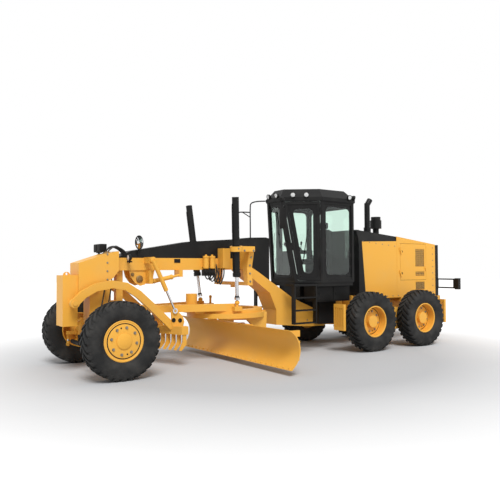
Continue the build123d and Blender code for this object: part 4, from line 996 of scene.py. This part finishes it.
def work_lamp(place, way, radius=0.048):
    """A round lamp that looks along a way, on a bracket below it."""
    way = Vector(way).normalized()
    back, stem = place - way * 0.045, place - way * 0.01
    add_turned(lamp_bodies, back, way, [
        (TIP, 0), (radius * 0.55, 0.002), (radius * 0.95, 0.022), (radius, 0.050), (radius * 1.06, 0.055),
        (radius * 1.06, 0.066), (radius * 0.93, 0.067), (radius * 0.93, 0.060)], 24)
    add_turned(lamp_lenses, back, way, [
        (TIP, 0.067), (radius * 0.5, 0.0655), (radius * 0.93, 0.061)], 24)
    add_rod(lamp_bodies, stem, stem - Vector((0, 0, radius + 0.035)), 0.010, 10)


LAMP_LENS = lamp_glass()
RED_LENS = drifting("red_lens", 60.0, (0.25, 0.006, 0.004), (0.42, 0.012, 0.008), 0.12, 30.0, 0.08,
                    Specular_IOR_Level=0.6)
lamp_bodies, lamp_lenses = bmesh.new(), bmesh.new()
print("lamps ready")

# %% [markdown]
# The roof carries a row of lamps along its front edges and two at each rear corner, and two more stand
# beside the beam. A square pair with dark lenses is on the nose. The rear lamps have red lenses.

# %% Lamps
# places on a slanted front edge of the roof, as shares of its length
EDGE_SHARES = (0.30, 0.62)
# height of a rear lamp's two lenses, with the radius of the dome's shoulder and of the rim
REAR_LENSES = ((1.310, 0.026, 0.036), (1.225, 0.018, 0.026))
for side in SIDES.values():
    work_lamp(at(2.455, side * 0.135, 3.165), (1, 0.1 * side, -0.15))
    for share in EDGE_SHARES:
        x, y = 2.43 - 0.66 * share + 0.02, 0.23 + 0.52 * share + 0.03
        work_lamp(at(x, side * y, 3.165), (0.62, 0.78 * side, -0.15))
    work_lamp(at(1.05, side * 0.775, 3.150), (0.1, side, -0.2))
    work_lamp(at(0.905, side * 0.745, 3.150), (-1, 0.3 * side, -0.2))
    work_lamp(at(5.68, side * 0.300, 1.885), (1, 0, -0.05), 0.058)
    add_side_block(lamp_bodies, side, (5.62, 5.66), (0.150, 0.300), (1.805, 1.830))
for low, high in ((-0.400, -0.235), (-0.225, -0.060)):
    add_block(lamp_bodies, at(5.935, low, 1.985), at(6.050, high, 2.125), 0.012)
add_block(lamp_bodies, at(5.990, -0.330, 1.972), at(6.030, -0.130, 1.990), 0.004)
add_rod(lamp_bodies, at(6.020, -0.215, 1.900), at(6.020, -0.215, 1.985), 0.018)
for low in (-0.385, -0.210):
    add_block(lamp_bodies, at(6.045, low, 2.000), at(6.056, low + 0.135, 2.112), 0.004)
lamps = keep("lamp_housings", lamp_bodies, DULL_BLACK)
keep("lamp_lenses", lamp_lenses, LAMP_LENS)
rear_lenses = bmesh.new()
for side in SIDES.values():
    for z, dome, rim in REAR_LENSES:
        add_turned(rear_lenses, at(-2.1895, side * 1.010, z), TO_REAR, [
            (TIP, 0.0095), (dome, 0.008), (rim, 0.003), (rim, 0)], 24)
keep("rear_lamp_lenses", rear_lenses, RED_LENS, "rear_frame")
print("lamps lit")

# %% [markdown]
# The mirrors hang ahead of the cab on a frame of bent tube: an upright, an arm with its brace, and the
# housing with the mirror on its rear side. A round convex mirror stands on the beam behind the nose.

# %% Mirrors on their tubes
# the left frame's tubes, each as the places that it bends through
MIRROR_TUBES = [
    [(2.470, 0.225, 3.085), (2.55, 0.42, 3.090), (2.60, 0.56, 3.060), (2.60, 0.60, 2.95), (2.60, 0.60, 2.60),
     (2.60, 0.60, 2.30)],
    [(2.60, 0.60, 2.300), (2.55, 0.56, 2.24), (2.35, 0.40, 2.22)],
    [(2.60, 0.60, 2.875), (2.74, 0.76, 2.885), (2.825, 0.845, 2.86), (2.830, 0.850, 2.80)]]
TUBE_RADIUS = 0.013
ROUND_MIRROR, ROUND_MIRROR_WAY = at(5.468, 0.175, 2.150), (-0.55, 0.83, 0)
MIRROR_SILVER = drifting("mirror_silver", 4.0, (0.70, 0.73, 0.74), (0.80, 0.82, 0.83), 0.03, 9.0, 0.04,
                         Metallic=1.0)
tubes, silver = bmesh.new(), bmesh.new()
for side in SIDES.values():
    for tube in MIRROR_TUBES:
        add_hose(tubes, [at(x, side * y, z) for x, y, z in tube], TUBE_RADIUS, 10)
    add_rod(tubes, at(2.60, side * 0.60, 2.77), at(2.71, side * 0.725, 2.88), 0.010, 10)
    add_side_block(tubes, side, (2.812, 2.848), (0.755, 0.945), (2.445, 2.825), 0.014)
    add_side_block(silver, side, (2.8095, 2.8135), (0.769, 0.931), (2.460, 2.810), 0.0015)
add_rod(tubes, at(5.46, 0.165, 1.93), at(5.46, 0.185, 2.08), 0.009, 10)
add_turned(tubes, ROUND_MIRROR, ROUND_MIRROR_WAY, [
    (TIP, 0), (0.060, 0.004), (0.112, 0.014), (0.122, 0.022), (0.122, 0.034), (0.108, 0.035)], 36)
add_turned(silver, ROUND_MIRROR, ROUND_MIRROR_WAY, [(TIP, 0.046), (0.060, 0.042), (0.108, 0.034)], 36)
keep("mirror_frames", tubes, DULL_BLACK)
keep("mirror_faces", silver, MIRROR_SILVER)
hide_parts("lamps_and_mirrors")
print("mirrors hung")

# %% [markdown]
# The doors have a pull handle and a wiper, and the windscreen has a wiper too. The door faces stand at a
# slant, so each part is landed on the door from straight ahead of its face.

# %% Handles and wipers
FRONT_POST = Vector((2.43, 0.23, 0))
DOOR_POST = Vector((1.77, 0.75, 0))
DOOR_OUT = (0.619, 0.786)


def door_spot(nodes, side, share, z, off):
    """A spot on a door: share runs from the rear post to the front one, off is the distance from its face."""
    flat = DOOR_POST.lerp(FRONT_POST, share)
    out = Vector((DOOR_OUT[0], side * DOOR_OUT[1], 0))
    found = landing(nodes, at(flat.x, side * flat.y, z) + out * 0.6, -out)
    return found[0] + out * off


for word, side in SIDES.items():
    parts = bmesh.new()
    door, glass = [f"cab_door_{word}"], [f"door_glass_{word}"]
    out = Vector((DOOR_OUT[0], side * DOOR_OUT[1], 0))
    low, high = (door_spot(door, side, 0.075, z, 0.0) for z in (1.72, 1.90))
    add_hose(parts, [low, low + out * 0.032, high + out * 0.032, high], 0.008, 8)
    foot, tip = door_spot(glass, side, 0.52, 1.535, 0.012), door_spot(glass, side, 0.40, 2.20, 0.020)
    add_rod(parts, foot, tip, 0.006, 8)
    add_turned(parts, foot - out * 0.010, out, [
        (0.020, 0), (0.020, 0.016), (0.014, 0.022), (TIP, 0.024)], 16)
    low, high = door_spot(glass, side, 0.44, 1.90, 0.010), door_spot(glass, side, 0.36, 2.45, 0.010)
    add_rod(parts, low, high, 0.007, 8)
    keep(f"door_fittings_{word}", parts, DULL_BLACK, f"cab_door_{word}")
wiper = bmesh.new()
(low, low_out), (high, high_out) = (landing(["cab_glass"], at(3.2, 0.02, z), TO_REAR) for z in (2.85, 2.10))
low, high, off = low + low_out * 0.014, high + high_out * 0.014, low_out * 0.012
add_rod(wiper, low, high, 0.007, 8)
add_rod(wiper, low.lerp(high, 0.4) + off, low + off, 0.005, 8)
keep("windscreen_wiper", wiper, DULL_BLACK)
print("handles and wipers fitted")

# %% [markdown]
# The working gear has castings and collars that the photo shows well: the crank plate under the beam with
# its brown boss, the collars on the cylinders, and the valve cans beside the saddle.

# %% Castings and collars
CRANK = [
    (5.62, 1.72), (5.58, 1.56), (5.50, 1.45), (5.40, 1.40),
    (5.32, 1.42), (5.25, 1.50), (5.16, 1.56), (5.12, 1.72)]
CRANK_FACE = 0.130
# forward and up place of each boss, and its radius
CRANK_BOSSES = ((5.42, 1.52, 0.062), (5.55, 1.60, 0.030), (5.22, 1.58, 0.030))
CAN = [
    (TIP, 0), (0.040, 0), (0.052, 0.012), (0.052, 0.200), (0.060, 0.205), (0.060, 0.228), (0.046, 0.236),
    (0.020, 0.240), (0.018, 0.262), (TIP, 0.262)]


def add_plate(build, outline, low, high):
    """A flat plate across the machine, from an outline of places forward and up."""
    sides = [[build.verts.new(at(x, y, z)) for x, z in outline] for y in (low, high)]
    for ring in sides:
        build.faces.new(ring)
    for k in range(len(outline)):
        after = (k + 1) % len(outline)
        build.faces.new((sides[0][k], sides[0][after], sides[1][after], sides[1][k]))


def add_collar(build, place, way, radius, width):
    add_turned(build, place, way, [
        (radius * 0.9, 0), (radius, width * 0.15), (radius, width * 0.85), (radius * 0.9, width)], 28)


castings, brown = bmesh.new(), bmesh.new()
for side in SIDES.values():
    add_plate(castings, CRANK, *sorted((side * 0.105, side * CRANK_FACE)))
    for x, z, radius in CRANK_BOSSES:
        add_turned(brown, at(x, side * CRANK_FACE, z), (0, side, 0), [
            (TIP, 0.030), (radius * 0.45, 0.030), (radius * 0.5, 0.022), (radius * 0.9, 0.020),
            (radius, 0.014), (radius, 0)], 28)
link_rear, link_front = at(4.694, 0.270, 1.585), at(5.268, 0.270, 1.470)
for share, radius, width in ((0.28, 0.044, 0.035), (0.60, 0.042, 0.025), (0.86, 0.044, 0.035)):
    add_collar(castings, link_rear.lerp(link_front, share), link_front - link_rear, radius, width)
for x in (4.02, 4.15):
    add_turned(castings, at(x, 0.232, 1.690), (0, 0, 1), CAN, 28)
    add_block(castings, at(x - 0.04, 0.145, 1.72), at(x + 0.04, 0.205, 1.86), 0.006)
keep("beam_castings", castings, ENAMEL)
keep("crank_bosses", brown, BRASS)
valve = bmesh.new()
add_block(valve, at(3.98, 0.148, 1.560), at(4.20, 0.260, 1.675), 0.010)
for k in range(4):
    x = 4.005 + k * 0.055
    add_rod(valve, at(x, 0.258, 1.62), at(x, 0.290, 1.62), 0.016, 12)
add_block(valve, at(4.64, 0.149, 1.80), at(4.76, 0.158, 1.87), 0.003)
keep("valve_block", valve, DULL_BLACK)
print("castings set")

# %% [markdown]
# Each lift barrel has a gland nut at its lower end and a steel oil line along its side. The rods end in
# black rubber boots just above their balls, which keep grit out.

# %% Lift cylinder dressing
BARREL_RADIUS = 0.062
BARREL_BELOW = 0.510
BOOT_ABOVE_BALL = 0.064
BOOT = [
    (0.044, 0), (0.050, 0.012), (0.043, 0.022), (0.047, 0.034),
    (0.040, 0.044), (0.043, 0.056), (0.0335, 0.066)]
# how far below the trunnion the oil line is, and its distance from the barrel as a share
OIL_LINE = ((0.40, 0.75), (0.36, 1), (-0.30, 1), (-0.75, 1), (-0.80, 0.75))
for word, side in SIDES.items():
    trunnion = joint_place(f"lift_barrel_{word}_swing")
    along = Vector(JOINTS[f"lift_rod_{word}_slide"]["axis"]).normalized()
    down = along if along.z < 0 else -along
    gland = bmesh.new()
    add_collar(gland, trunnion + down * (BARREL_BELOW - 0.060), down, BARREL_RADIUS + 0.007, 0.050)
    add_collar(gland, trunnion - down * 0.20, down, BARREL_RADIUS + 0.005, 0.030)
    out = Vector((BARREL_RADIUS + 0.012, 0, 0))
    add_hose(gland, [trunnion + down * below + out * share for below, share in OIL_LINE], 0.009, 8)
    keep(f"lift_gland_{word}", gland, SATIN_BLACK, f"lift_barrel_{word}")
    ball = at(3.760, side * 0.680, 1.075)
    boot = bmesh.new()
    add_turned(boot, ball - down * BOOT_ABOVE_BALL, -down, BOOT, 28)
    keep(f"rod_boot_{word}", boot, HOSE_RUBBER, f"lift_rod_{word}")
print("lift cylinders dressed")

# %% [markdown]
# The scarifier's cheeks carry pin heads. The radiator guard at the back has slats, the black boxes under
# the cab have doors with latches, and the ladder treads have grip ribs.

# %% Guards, boxes and treads
PIN_PLACES = ((4.775, 0.790), (4.900, 0.800), (6.615, 1.155))
PIN_HEAD = [(TIP, 0.006), (0.018, 0.006), (0.022, 0.012), (0.034, 0.012), (0.038, 0.006), (0.038, 0)]
SLATS = 17
BOX_DOORS = ((0.94, 1.36), (1.39, 1.80))
TREADS = (0.625, 0.875, 1.125)
TREAD_RIBS = 9
pins = bmesh.new()
for side in SIDES.values():
    for x, z in PIN_PLACES:
        found = side_landing(["scarifier"], side, x, z)
        if found:
            add_turned(pins, found[0], (0, side, 0), PIN_HEAD, 24)
keep("scarifier_pins", pins, DULL_BLACK, "scarifier")
slats = bmesh.new()
for k in range(SLATS):
    z = 1.16 + k * 0.058
    found = landing(["radiator_guard"], at(-3, 0, z), TO_FRONT)
    if found:
        x = found[0].x - TANDEM.x
        add_block(slats, at(x - 0.016, -0.40, z), at(x + 0.002, 0.40, z + 0.022), 0.003)
keep("radiator_slats", slats, DULL_BLACK, "rear_frame")
boxes = bmesh.new()
for side in SIDES.values():
    for rear, front in BOX_DOORS:
        add_side_block(boxes, side, (rear, front), (0.599, 0.612), (1.035, 1.305), 0.006)
        add_side_block(boxes, side, (front - 0.075, front - 0.045), (0.611, 0.624), (1.15, 1.21))
    for z in TREADS:
        for k in range(TREAD_RIBS):
            x = 1.93 + k * 0.056
            add_side_block(boxes, side, (x, x + 0.016), (0.605, 0.695), (z - 0.001, z + 0.005), 0.0015)
keep("box_doors_and_treads", boxes, SATIN_BLACK)
print("guards, boxes and treads set")

# %% [markdown]
# Each engine door has two latches. On each side of the nose, two hoses run down from the beam to the front
# axle.

# %% Last trim
LATCH_HEIGHTS = (1.56, 2.06)
AXLE_LINES = [
    [(6.00, 0.10, 1.66), (6.05, 0.19, 1.45), (6.12, 0.24, 1.15), (6.20, 0.26, 0.86), (6.20, 0.30, 0.62)],
    [(5.92, 0.10, 1.66), (5.96, 0.22, 1.42), (6.02, 0.26, 1.12), (6.06, 0.24, 0.80)]]
for word, side in SIDES.items():
    latches = bmesh.new()
    for z in LATCH_HEIGHTS:
        found = side_landing([f"engine_door_{word}"], side, -0.83, z)
        if found:
            add_turned(latches, found[0], (0, side, 0), [
                (TIP, 0.008), (0.020, 0.008), (0.026, 0.004), (0.026, 0)], 20)
    keep(f"door_latches_{word}", latches, DULL_BLACK, f"engine_door_{word}")
axle_runs = [[(x, side * y, z) for x, y, z in line] for side in SIDES.values() for line in AXLE_LINES]
hose_group("axle", axle_runs, 0.012)
print("trim done")
